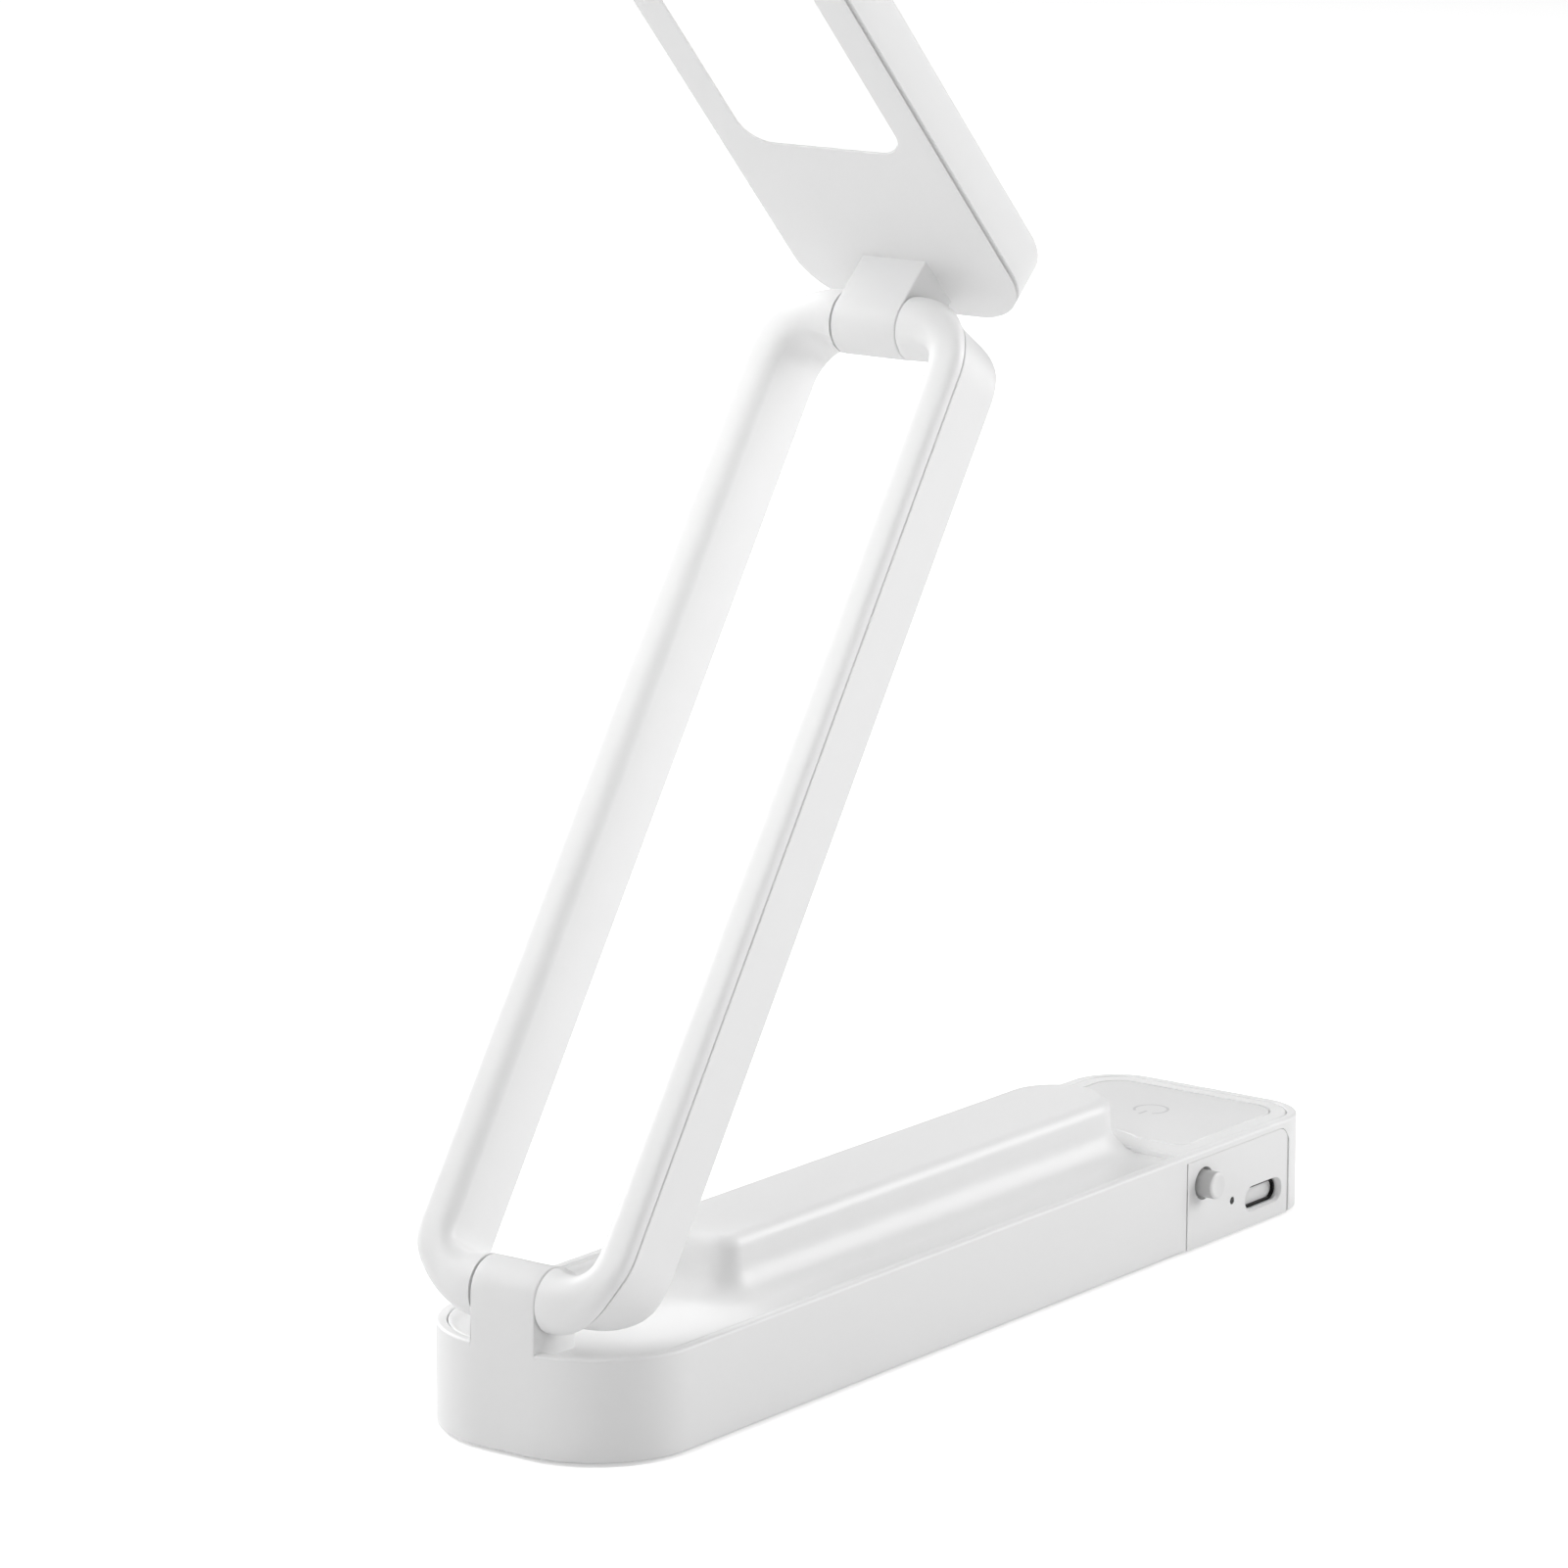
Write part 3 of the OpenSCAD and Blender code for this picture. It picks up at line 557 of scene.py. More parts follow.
class Finishes:
    """Every finish of the lamp, by name."""

    SHELL = Finish("satin_white_shell", (0.845, 0.845, 0.845))
    DECK = Finish("satin_white_deck", (0.85, 0.85, 0.85), gloss=0.40)
    RAIL = Finish("satin_white_rail", (0.875, 0.875, 0.875), gloss=0.38)
    BEZEL = Finish("matt_white_bezel", (0.84, 0.84, 0.84), gloss=0.48)
    TOUCH = Finish("smooth_white_touch", (0.83, 0.83, 0.83), gloss=0.3, bump=0.05, mark=True)
    # The button is white: its grey sides are painted shade, and the tip tone of 0.80 is its own.
    BUTTON_SHADED_SIDES = Finish("white_button_painted_shade_sides", (0.46, 0.46, 0.46), gloss=0.34, tip=0.80)
    MILK = Finish("milky_diffuser", (0.90, 0.90, 0.90), gloss=0.5, bump=0.03, glow=0.30)
    REFLECTOR = Finish("bright_reflector", (0.92, 0.92, 0.92), gloss=0.6)
    MASK = Finish("white_solder_mask", (0.82, 0.84, 0.84), gloss=0.35)
    PHOSPHOR = Finish("yellow_phosphor", (0.9, 0.75, 0.25), gloss=0.5)
    PAD = Finish("soft_grey_grip", (0.13, 0.13, 0.135), look=Look.RUBBER, gloss=0.78,
                 grain=1800.0, bump=0.5, depth=0.06, tone=0.08)
    STEEL = Finish("plated_steel", (0.56, 0.56, 0.57), look=Look.METAL, gloss=0.3, spread=0.12,
                   grain=2400.0)
    # The socket's metal is painted near black, as painted shade inside the charging opening.
    SOCKET_PAINTED_SHADE = Finish("socket_sheet", (0.016, 0.016, 0.016), look=Look.METAL, gloss=0.5, spread=0.1)
    TONGUE = Finish("socket_tongue", (0.035, 0.035, 0.035), gloss=0.5, tone=0.06)
    BOARD = Finish("green_solder_mask", (0.03, 0.12, 0.05), gloss=0.35, tone=0.08)
    CHIP = Finish("black_moulding", (0.014, 0.014, 0.015), gloss=0.5, tone=0.1)
    LENS = Finish("smoked_lens", (0.03, 0.03, 0.03), gloss=0.25, tone=0.05)
    SWITCH = Finish("dark_switch_case", (0.05, 0.05, 0.055), gloss=0.5, tone=0.08)
    WRAP = Finish("cell_wrap", (0.05, 0.16, 0.36), gloss=0.3, tone=0.06)
    WIRE = Finish("black_wire", (0.012, 0.012, 0.012), look=Look.RUBBER, gloss=0.5, tone=0.1)


CARRIED: dict[str, Finish] = {
    "base_cover": Finishes.SHELL, "side_panel": Finishes.SHELL, "grip_pad": Finishes.PAD,
    "cover_screws": Finishes.STEEL, "touch_spring": Finishes.STEEL, "control_board": Finishes.BOARD,
    # usb_socket: its near black metal is painted shade inside the opening.
    "board_chips": Finishes.CHIP, "usb_socket": Finishes.SOCKET_PAINTED_SHADE, "usb_tongue": Finishes.TONGUE,
    "switch_body": Finishes.SWITCH, "indicator_lens": Finishes.LENS, "battery_cell": Finishes.WRAP,
    "battery_tabs": Finishes.STEEL, "switch_plunger": Finishes.SWITCH,
    "lower_hinge_pin": Finishes.STEEL, "upper_hinge_pin": Finishes.STEEL,
    "spring_washers": Finishes.STEEL, "hinge_nuts": Finishes.STEEL,
    "arm_wire": Finishes.WIRE, "arm_screws": Finishes.STEEL, "reflector_frame": Finishes.REFLECTOR,
    "led_board": Finishes.MASK, "leds": Finishes.PHOSPHOR, "head_wire": Finishes.WIRE,
    "head_screws": Finishes.STEEL,
}


@dataclass
class Piece:
    """A new visible piece: its mesh object, the body it rides on and what it stands for."""

    obj: bpy.types.Object
    body: str
    slot: str
    finish: Finish
    stands_for: tuple[str, ...] = ()

    def dress(self) -> None:
        """Gives the piece its finish and ties it to the frame."""
        self.obj.data.materials.clear()
        self.obj.data.materials.append(self.finish.material())
        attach(self.obj, self.body)
        if self.stands_for:
            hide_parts(*self.stands_for)
        LOG.info("%s: %d faces, on %s", self.obj.name, len(self.obj.data.polygons), self.body)


# ---------------------------------------------------------------- base


@dataclass
class Base:
    """The long base: housing with its hinge post, deck with the ridge, touch plate and button."""

    x_near: float = -88.0
    x_far: float = 88.0
    half: float = 20.0
    near_r: float = 16.0
    far_r: float = 8.7
    z_edge: float = 0.5
    z_rim: float = 15.3
    z_floor: float = 14.3
    z_hidden: float = 11.6
    wall: float = 1.5
    deck_gap: float = 0.16
    barrel_r: float = 4.6
    barrel_half: float = 5.6
    barrel_edge: float = 0.3
    hinge_z: float = 22.1
    panel_x0: float = 51.6
    panel_x1: float = 79.5
    panel_top: float = 14.3
    panel_r: float = 2.2
    panel_squeeze: float = 0.13
    panel_slot: float = 0.4
    panel_seam: float = 0.22
    post_row: int = 13
    plate_x: float = 56.5
    plate_inset: float = 4.3
    plate_gap: float = 0.3
    plate_r: float = 1.8
    button_in: float = 4.6
    button_up: float = 9.7
    button_tip: float = 2.6
    socket_in: float = 21.1
    socket_low: float = 2.2
    socket_sheet: float = 1.0
    socket_high: float = 3.26
    socket_wide: float = 8.94
    bite_r: float = 13.7
    hump_x: float = -48.0
    hump_end: float = 45.0
    crown_half: float = 8.5
    crown_z: float = 23.0
    crown_round: float = 2.0
    foot_round: float = 4.8
    hump_r: float = 3.6
    tray_end: float = 51.8

    def wall_profile(self) -> Array:
        """The housing's wall as inset and height, from its inner foot out, up and back in.

        Returns:
            (n, 2) points of a closed section.
        """
        foot = [[self.wall, self.z_edge], [0.4, self.z_edge]]
        heel = arc(0.35, self.z_edge + 0.35, 0.35, 270, 180, 6)
        up = [[0, 1.3], [0, self.panel_top - 0.1], [0, self.panel_top], [0, self.panel_top + 0.08],
              [0, self.z_rim - 0.55]]
        round_out = arc(0.42, self.z_rim - 0.42, 0.42, 180, 90, 14)
        top = [[0.8, self.z_rim]]
        round_in = arc(self.wall - 0.22, self.z_rim - 0.22, 0.22, 90, 0, 9)
        down = [[self.wall, self.z_hidden], [self.wall, 2.1], [self.wall, 2.1]]
        return np.concatenate([foot, heel, up, round_out, top, round_in, down])

    def recess_profile(self, top: float) -> Array:
        """The same section where the side panel's recess goes through the wall.

        Args:
            top: the recess's top there.

        Returns:
            (n, 2) points, as many as wall_profile gives.
        """
        p = self.wall_profile()
        inner = self.wall - 0.05
        p[:9, 0] = self.wall
        p[8, 0] = inner
        p[9] = [inner, top]
        p[10] = [0.05, top]
        p[11] = [0, top + 0.05]
        p[1:8, 1] = np.linspace(self.z_edge, 1.2, 7)
        return p

    def post_profile(self, soften: float) -> Array:
        """The section through the hinge post: up its flush face, over the barrel and down.

        Args:
            soften: how far the section shrinks at the barrel's rounded side edges.

        Returns:
            (n, 2) points, as many as wall_profile gives.
        """
        p = self.wall_profile()
        first = self.post_row
        over = arc(self.barrel_r, self.hinge_z, self.barrel_r - soften, 180, 0, len(p) - 3 - first)
        p[first - 1] = [soften, self.z_rim + 0.4]
        p[first:-3] = over
        p[-3] = [2 * self.barrel_r - soften, self.z_hidden]
        p[-2] = [2 * self.barrel_r - soften, 2.1]
        return p

    def columns(self) -> tuple[Array, Array, Array]:
        """Where the wall's section stands along the outline, with its normals and its shape.

        The outline runs from the post along the -Y side, round the far end and back. At the
        post's sides and at the recess's ends two sections stand at the same place, and the faces
        between them are the post's and the recess's side walls. A post's section leans inwards
        along X above the wall, and along the outline's own normal below.

        Returns:
            (n, 2) places, (n, rows, 2) outward normals, and (n, rows, 2) sections.
        """
        places: list[Sequence[float]] = []
        normals: list[Array] = []
        shapes: list[Array] = []
        wall = self.wall_profile()

        def put(place: Sequence[float], normal: Sequence[float], shape: Array,
                post: bool = False) -> None:
            """Adds one column."""
            rows = np.tile(np.array(normal, float), (len(shape), 1))
            if post:
                rows[self.post_row - 1:] = (-1.0, 0.0)
            places.append(place)
            normals.append(rows)
            shapes.append(shape)

        near_cx, near_cy = self.x_near + self.near_r, self.half - self.near_r
        far_cx, far_cy = self.x_far - self.far_r, self.half - self.far_r

        def corner(cx: float, cy: float, r: float, angle: float) -> tuple[tuple, tuple]:
            """A place on a round corner and its normal."""
            n = (math.cos(math.radians(angle)), math.sin(math.radians(angle)))
            return (cx + r * n[0], cy + r * n[1]), n

        def post_column(y: float, soften: float) -> None:
            """A post section where the outline stands at y."""
            lean = math.degrees(math.asin(max(abs(y) - near_cy, 0) / self.near_r))
            side = math.copysign(1, y)
            place, n = corner(near_cx, side * near_cy, self.near_r, 180 - side * lean)
            put((place[0], y), n, self.post_profile(soften), True)

        side = barrel_end(self.barrel_half, self.barrel_edge)
        for y in (0.0, -2.0, -4.0):
            post_column(y, 0)
        for y, soften in side:
            post_column(-y, soften)
        start = math.degrees(math.asin((self.barrel_half - near_cy) / self.near_r))
        for a in np.linspace(180 + start, 270, 48):
            put(*corner(near_cx, -near_cy, self.near_r, a), wall)
        seam = self.panel_x0 - self.panel_seam
        for x in np.linspace(near_cx, seam, 16)[1:]:
            put((x, -self.half), (0, -1), wall)
        turn_x = self.panel_x1 - self.panel_r
        ends = np.concatenate([[seam], np.linspace(56, turn_x, 5),
                               turn_x + self.panel_r * np.sin(np.linspace(0.1, 1.5, 14))])
        for x in ends[ends < far_cx]:
            over = max(x - turn_x, 0)
            top = self.panel_top - self.panel_r + math.sqrt(self.panel_r ** 2 - over ** 2)
            put((x, -self.half), (0, -1), self.recess_profile(top - self.panel_squeeze))
        last = math.degrees(math.asin((self.panel_x1 + self.panel_slot - far_cx) / self.far_r))
        place, n = corner(far_cx, -far_cy, self.far_r, 270 + last)
        put(place, n, self.recess_profile(self.panel_top - self.panel_r))
        for a in np.linspace(270 + last, 360, 26):
            put(*corner(far_cx, -far_cy, self.far_r, a), wall)
        for a in np.linspace(0, 90, 26):
            put(*corner(far_cx, far_cy, self.far_r, a), wall)
        for x in np.linspace(far_cx, near_cx, 20)[1:-1]:
            put((x, self.half), (0, 1), wall)
        for a in np.linspace(90, 180 - start, 48):
            put(*corner(near_cx, near_cy, self.near_r, a), wall)
        for y, soften in side[::-1]:
            post_column(y, soften)
        for y in (4.0, 2.0):
            post_column(y, 0)
        return np.array(places), np.array(normals), np.array(shapes)

    def housing(self) -> bpy.types.Object:
        """The housing: each point is an outline point moved inwards by the section's inset."""
        places, normals, section = self.columns()
        xy = places[:, None] - normals * section[:, :, :1]
        solid = Solid()
        solid.sheet(np.concatenate([xy, section[:, :, 1:]], -1))
        return build_object("base_housing", solid)

    def deck_floor(self, solid: Solid) -> None:
        """The tray: a flat floor whose edge sweeps up in a quarter round beside the rim.

        Args:
            solid: where it goes.
        """
        e, lip, sweep = self.wall + self.deck_gap, self.z_rim - 0.12, 1.3
        cove = arc(e + 0.4 + sweep, self.z_floor + sweep, sweep, 180, 270, 14)
        cove[:, 1] = self.z_floor + (cove[:, 1] - self.z_floor) * (lip - self.z_floor) / sweep
        profile = np.concatenate([soft_edge(e, self.z_hidden, lip, 0.2, 6), cove,
                                  [[e + 3.4, self.z_floor]]])

        def plan(inset: float) -> Array:
            """The base's outline moved inwards by an inset."""
            return plan_ring(self.x_near, self.x_far, self.half, self.near_r, self.far_r, inset, 40)

        solid.loft(level_rings(plan, profile))

    def platform(self, solid: Solid) -> None:
        """The raised end of the deck, level with the rim, with a soft edge all round.

        Args:
            solid: where it goes.
        """
        e, top, soft = self.wall + self.deck_gap, self.z_rim - 0.05, 0.4
        profile = np.concatenate([soft_edge(0, self.z_hidden, top, soft, 9), [[1.2, top]]])

        def plan(inset: float) -> Array:
            """The platform's outline moved inwards by an inset."""
            return plan_ring(self.tray_end, self.x_far - e, self.half - e, 0.5, self.far_r - e,
                             inset, 24)

        solid.loft(level_rings(plan, profile))

    def ridge(self, solid: Solid) -> None:
        """The ridge: one section carried round its plan outline, which is drawn in or out by it.

        The section rises from the floor in a cove, stands up as the wall and rounds over to the
        crown. The plan is a bar with two round corners at the hinge end and a half circle at the
        touch end, and a plan grown by g has its corners' radii grown by g.

        Args:
            solid: where it goes.
        """
        f, r = self.foot_round, self.crown_round
        section = np.concatenate([
            [[-f, self.z_hidden]], arc(-f, self.z_floor + f, f, 270, 360, 22),
            arc(r, self.crown_z - r, r, 180, 90, 18),
            [[r + 0.6, self.crown_z], [r + 1.3, self.crown_z]]])

        def plan(inset: float) -> Array:
            """The ridge's outline moved inwards by an inset, with equal counts."""
            end = self.crown_half - inset
            return plan_ring(self.hump_x + inset, self.hump_end + self.crown_half - inset, end,
                             max(self.hump_r - inset, 0.02), end - 0.01, 0.0, 30, 30)

        solid.loft(level_rings(plan, section))

    def deck(self) -> bpy.types.Object:
        """The deck: tray floor, touch platform and ridge, with the touch plate's seat."""
        solid = Solid()
        self.deck_floor(solid)
        obj = build_object("tray_deck", solid)
        for shape in (self.platform, self.ridge):
            more = Solid()
            shape(more)
            combine(obj, more, "UNION")
        seat = Solid()
        self.plate(seat, -self.plate_gap, self.z_rim - 0.95, self.z_rim + 2.0)
        combine(obj, seat, "DIFFERENCE")
        return obj

    def plate_outline(self, inset: float) -> Array:
        """The touch plate's outline: the base's own, drawn in, bitten out round the ridge's end.

        It runs as a rectangle with round corners, and its hinge side follows a circle about the
        ridge's end where the circle reaches past the straight edge, with that edge kept elsewhere.

        Args:
            inset: how far the plate's edge moves inwards.

        Returns:
            (m, 2) points.
        """
        ring = plan_ring(self.plate_x, self.x_far - self.plate_inset,
                         self.half - self.plate_inset, self.plate_r,
                         self.far_r - self.plate_inset, inset, 16, 90)
        reach = self.bite_r + inset
        x = self.hump_end + np.sqrt(np.clip(reach ** 2 - ring[:, 1] ** 2, 0, None))
        hinge_side = ring[:, 0] < self.plate_x + inset + 2.0
        ring[hinge_side, 0] = np.maximum(ring[hinge_side, 0], x[hinge_side])
        return ring

    def plate(self, solid: Solid, inset: float, low: float, high: float, soft: float = 0.0) -> None:
        """Adds the touch plate's shape between two heights, with an optional soft top edge.

        Args:
            solid: where it goes.
            inset: how far its edge moves inwards.
            low, high: its heights.
            soft: the radius of its top edge.
        """
        profile = np.array([[inset, low], [inset, high]])
        if soft:
            profile = soft_edge(inset, low, high, soft, 6)
        solid.loft(level_rings(self.plate_outline, profile))

    def touch_plate(self) -> bpy.types.Object:
        """The touch plate in its seat, level with the platform."""
        solid = Solid()
        self.plate(solid, 0.0, self.z_rim - 0.9, self.z_rim - 0.02, 0.22)
        return build_object("touch_plate", solid)

    def button(self) -> bpy.types.Object:
        """The button: a turned cap with a rounded edge, a shallow dish and a flange behind."""
        x, z = self.panel_x0 + self.button_in, self.z_edge + self.button_up
        tip = self.button_tip
        profile = np.concatenate([[[0.0, tip - 0.12], [0.7, tip - 0.10], [1.2, tip - 0.05]],
                                  arc(1.65, tip - 0.45, 0.45, 90, 0, 8),
                                  [[2.1, -2.6], [3.0, -2.65], [3.0, -3.4], [0.0, -3.4]]])

        def place(p: Array) -> Array:
            """Turns local height into -Y."""
            return np.stack([x + p[..., 0], -self.half - p[..., 2], z + p[..., 1]], -1)

        solid = Solid()
        solid.loft(lathe(profile, place), caps=False)
        return build_object("button_cap", solid)

    def socket_lip(self) -> bpy.types.Object:
        """The charging opening's sloped lip: a stadium outline that narrows as it goes in."""
        x = self.panel_x0 + self.socket_in
        z = self.socket_low + self.socket_sheet + self.socket_high / 2
        rings = []
        for grow, depth in ((0.72, 0.62), (0.72, 0.02), (0.62, 0.0), (0.18, 0.5), (0.15, 0.62)):
            r = self.socket_high / 2 + grow * 0.53
            w = self.socket_wide / 2 - self.socket_high / 2 + grow * 0.47
            ring = np.concatenate([arc(w, 0, r, -90, 90, 24), arc(-w, 0, r, 90, 270, 24)])
            rings.append(np.column_stack([x + ring[:, 0], np.full(len(ring), -self.half + depth),
                                          z + ring[:, 1]]))
        solid = Solid()
        solid.sheet(np.array(rings))
        return build_object("socket_lip", solid)

    def build(self) -> list[Piece]:
        """Builds and dresses the base.

        Returns:
            Its new pieces.
        """
        return [
            Piece(self.housing(), "base", "shell_white", Finishes.SHELL, ("base_shell",)),
            Piece(self.deck(), "base", "shell_white", Finishes.DECK, ("top_deck",)),
            Piece(self.touch_plate(), "base", "touch_white", Finishes.TOUCH, ("touch_pad",)),
            # The button: white, with painted shade on its sides.
            Piece(self.button(), "button", "button_white", Finishes.BUTTON_SHADED_SIDES, ("power_button",)),
            Piece(self.socket_lip(), "base", "shell_white", Finishes.SHELL),
        ]


# ---------------------------------------------------------------- arm


@dataclass
class Arm:
    """The open loop of the arm: two bent rails, each a rear shell with a front strip."""

    hinge: tuple[float, float] = (-83.4, 22.1)
    reach: float = 148.9
    angle: float = 56.4
    half: float = 18.4
    corner: float = 12.0
    bar_r: float = 4.6
    width: float = 5.7
    back: float = 7.2
    split: float = 2.75
    groove: float = 0.42
    under: float = -52.0
    ear: float = 5.85
    blend_from: float = 0.5
    blend_over: float = 15.0
    outer_power: float = 0.6
    inner_power: float = 0.95
    rim_room: float = 6.2
    rim_from: float = -3.0
    rim_over: float = 11.0
    screw_in: float = 25.0
    screw_r: float = 0.95
    screw_head_r: float = 1.7
    screw_depth: float = 1.1

    def place(self, p: Array) -> Array:
        """Puts arm coordinates (along, across, out of the front) into the row frame."""
        c, s = math.cos(math.radians(self.angle)), math.sin(math.radians(self.angle))
        a, y, n = p[..., 0], p[..., 1], p[..., 2]
        return np.stack([self.hinge[0] + a * c - n * s, y, self.hinge[1] + a * s + n * c], -1)

    def path(self) -> tuple[Array, Array, Array]:
        """The loop's outer edge on the +Y side, from one knuckle to the other.

        Returns:
            (n, 2) points (along, across), (n, 2) inward normals, and how round the section is.
        """
        end_cx, cy = self.corner - self.bar_r, self.half - self.corner
        t = np.radians(np.linspace(0, 90, 46))
        bar = np.array([[-self.bar_r, y] for y in (self.ear, self.ear + 0.12, cy - 0.1)])
        bend = np.column_stack([end_cx - self.corner * np.cos(t), cy + self.corner * np.sin(t)])
        run = np.column_stack([eased(end_cx, self.reach / 2, 30)[1:], np.full(29, self.half)])
        pts = np.concatenate([bar, bend, run])
        nrm = np.concatenate([np.tile([1.0, 0.0], (3, 1)), np.column_stack([np.cos(t), -np.sin(t)]),
                              np.tile([0.0, -1.0], (29, 1))])
        step = np.concatenate([[0], np.cumsum(np.linalg.norm(np.diff(pts, axis=0), axis=1))])
        rounding = 1 - smoothstep((step - self.blend_from) / self.blend_over)
        mirror = np.array([-1.0, 1.0])
        pts = np.concatenate([pts, (pts[:-1] * mirror + [self.reach, 0])[::-1]])
        nrm = np.concatenate([nrm, (nrm[:-1] * mirror)[::-1]])
        rounding = np.concatenate([rounding, rounding[:-1][::-1]])
        return pts, nrm, rounding

    def strip_section(self) -> tuple[Array, Array]:
        """The front strip's section on a rail and on the round bar, as depth inwards and height.

        On a rail it is an ellipse's upper part whose cosine and sine are raised to a power, which
        makes it flat with a tight edge on the outer side and round on the inner side. On the bar
        it is a circle's arc from the bar's underside over its front to the loop's inner side.
        Under both a tongue fills the joint's groove.

        Returns:
            Two (n, 2) closed sections with matching points.
        """
        cap = np.linspace(0, 1, 48)
        high = self.split + self.groove * 0.6
        a0 = math.asin(((high - 2.6) / 2.1) ** (1 / self.outer_power))
        a1 = math.pi - math.asin(((self.split - 2.6) / 2.1) ** (1 / self.inner_power))
        a = a0 + (a1 - a0) * cap
        power = np.where(np.cos(a) > 0, self.outer_power, self.inner_power)
        across = np.sign(np.cos(a)) * np.abs(np.cos(a)) ** power
        rail = np.column_stack([self.width / 2 * (1 - across), 2.6 + 2.1 * np.sin(a) ** power])
        b0 = math.radians(self.under + 1.8)
        b1 = math.pi - math.asin(self.split / self.bar_r)
        b = b0 + (b1 - b0) * cap
        bar = self.bar_r * np.column_stack([1 - np.cos(b), np.sin(b)])
        low = self.split - 0.6
        rail_end = [[self.width - 0.4, low], [0.45, low], [0.45, high - 0.1], [0.1, high - 0.02]]
        bar_end = [[7.4, 2.2], [3.4, -2.0], [2.9, -2.9], bar[0] + [0.12, 0.1]]
        return np.concatenate([rail, rail_end]), np.concatenate([bar, bar_end])

    def rear_section(self) -> tuple[Array, Array]:
        """The rear shell's section on a rail and on the round bar.

        On a rail it has flat sides, a flat back and round back edges; on the bar it is the rest
        of the circle behind the joint.

        Returns:
            Two (n, 2) closed sections with matching points.
        """
        high, r = self.split - self.groove * 0.4, 1.0
        w, back = self.width, -self.back
        rail = np.concatenate([
            np.column_stack([[0.06, 0, 0, 0, 0], [high, high - 0.06, high - 1, 0, back + r + 0.6]]),
            arc(r, back + r, r, 180, 270, 9),
            [[w / 3, back], [2 * w / 3, back]],
            arc(w - r, back + r, r, 270, 360, 9),
            np.column_stack([[w, w, w, w - 0.01], [back + r + 0.6, 0, high - 1, self.split]]),
            [[w / 2, high - 0.6]]])
        inner = -180 - math.degrees(math.asin(self.split / self.bar_r))
        turn = np.concatenate([self.under - np.array([1.6, 2.4, 4, 7, 10]),
                               np.linspace(self.under - 12, -88, 9), [-98, -112],
                               np.linspace(-124, -142, 9), np.linspace(-148, inner, 4)])
        t = np.radians(turn)
        bar = self.bar_r * np.column_stack([1 - np.cos(t), np.sin(t)])
        bar[0] += [0.06, 0.04]
        return rail, np.concatenate([bar, [[5.2, -0.6]]])

    def rail(self, name: str, side: int, sections: tuple[Array, Array]) -> bpy.types.Object:
        """One rail shell: the section carried along the loop's outer edge, blended at the ends.

        Each point is the path's point moved inwards by the section's depth and out by its
        height, and the section is rail * (1 - k) + bar * k with k the roundness there. Near the
        lower hinge the back is held to rim_room below the axis, so it swings clear of the rim.

        Args:
            name: the piece's name.
            side: +1 for the left rail, -1 for the right.
            sections: the rail's and the bar's section.

        Returns:
            The object.
        """
        pts, nrm, k = self.path()
        rail, bar = sections
        sec = rail[None] * (1 - k[:, None, None]) + bar[None] * k[:, None, None]
        flat = pts[:, None] + nrm[:, None] * sec[:, :, :1]
        grid = np.concatenate([flat, sec[:, :, 1:]], -1)
        away = smoothstep((grid[..., 0] - self.rim_from) / self.rim_over)
        room = self.rim_room + (self.back - self.rim_room) * away
        grid[..., 2] = np.maximum(grid[..., 2], -room)
        grid[..., 1] *= side
        solid = Solid()
        solid.loft(self.place(grid))
        return build_object(name, solid)

    def screw_pockets(self) -> Solid:
        """The stepped holes of the arm's screws, cut from the right rail's back.

        Returns:
            The cutter.
        """
        solid = Solid()
        below, seat = -self.back - 1, -self.back + self.screw_depth
        profile = np.array([[0.0, below], [self.screw_head_r, below], [self.screw_head_r, seat],
                            [self.screw_r, seat], [self.screw_r, 0.5], [0.0, 0.5]])
        middle = -self.half + self.width / 2
        for along in (self.screw_in, self.reach - self.screw_in):

            def spot(p: Array, at: float = along) -> Array:
                """Stands a turned profile on the right rail's middle line."""
                return self.place(np.stack([at + p[..., 0], middle + p[..., 1], p[..., 2]], -1))

            solid.loft(lathe(profile, spot, 40), caps=False)
        return solid

    def build(self) -> list[Piece]:
        """Builds and dresses the arm.

        Returns:
            Its new pieces.
        """
        pieces = []
        for side, word in ((1, "left"), (-1, "right")):
            rear = self.rail(word + "_rear_shell", side, self.rear_section())
            if side < 0:
                combine(rear, self.screw_pockets(), "DIFFERENCE")
            strip = self.rail(word + "_front_strip", side, self.strip_section())
            for obj, node in ((rear, word + "_rail_rear"), (strip, word + "_rail_front")):
                pieces.append(Piece(obj, "arm", "shell_white", Finishes.RAIL, (node,)))
        return pieces


# ---------------------------------------------------------------- head


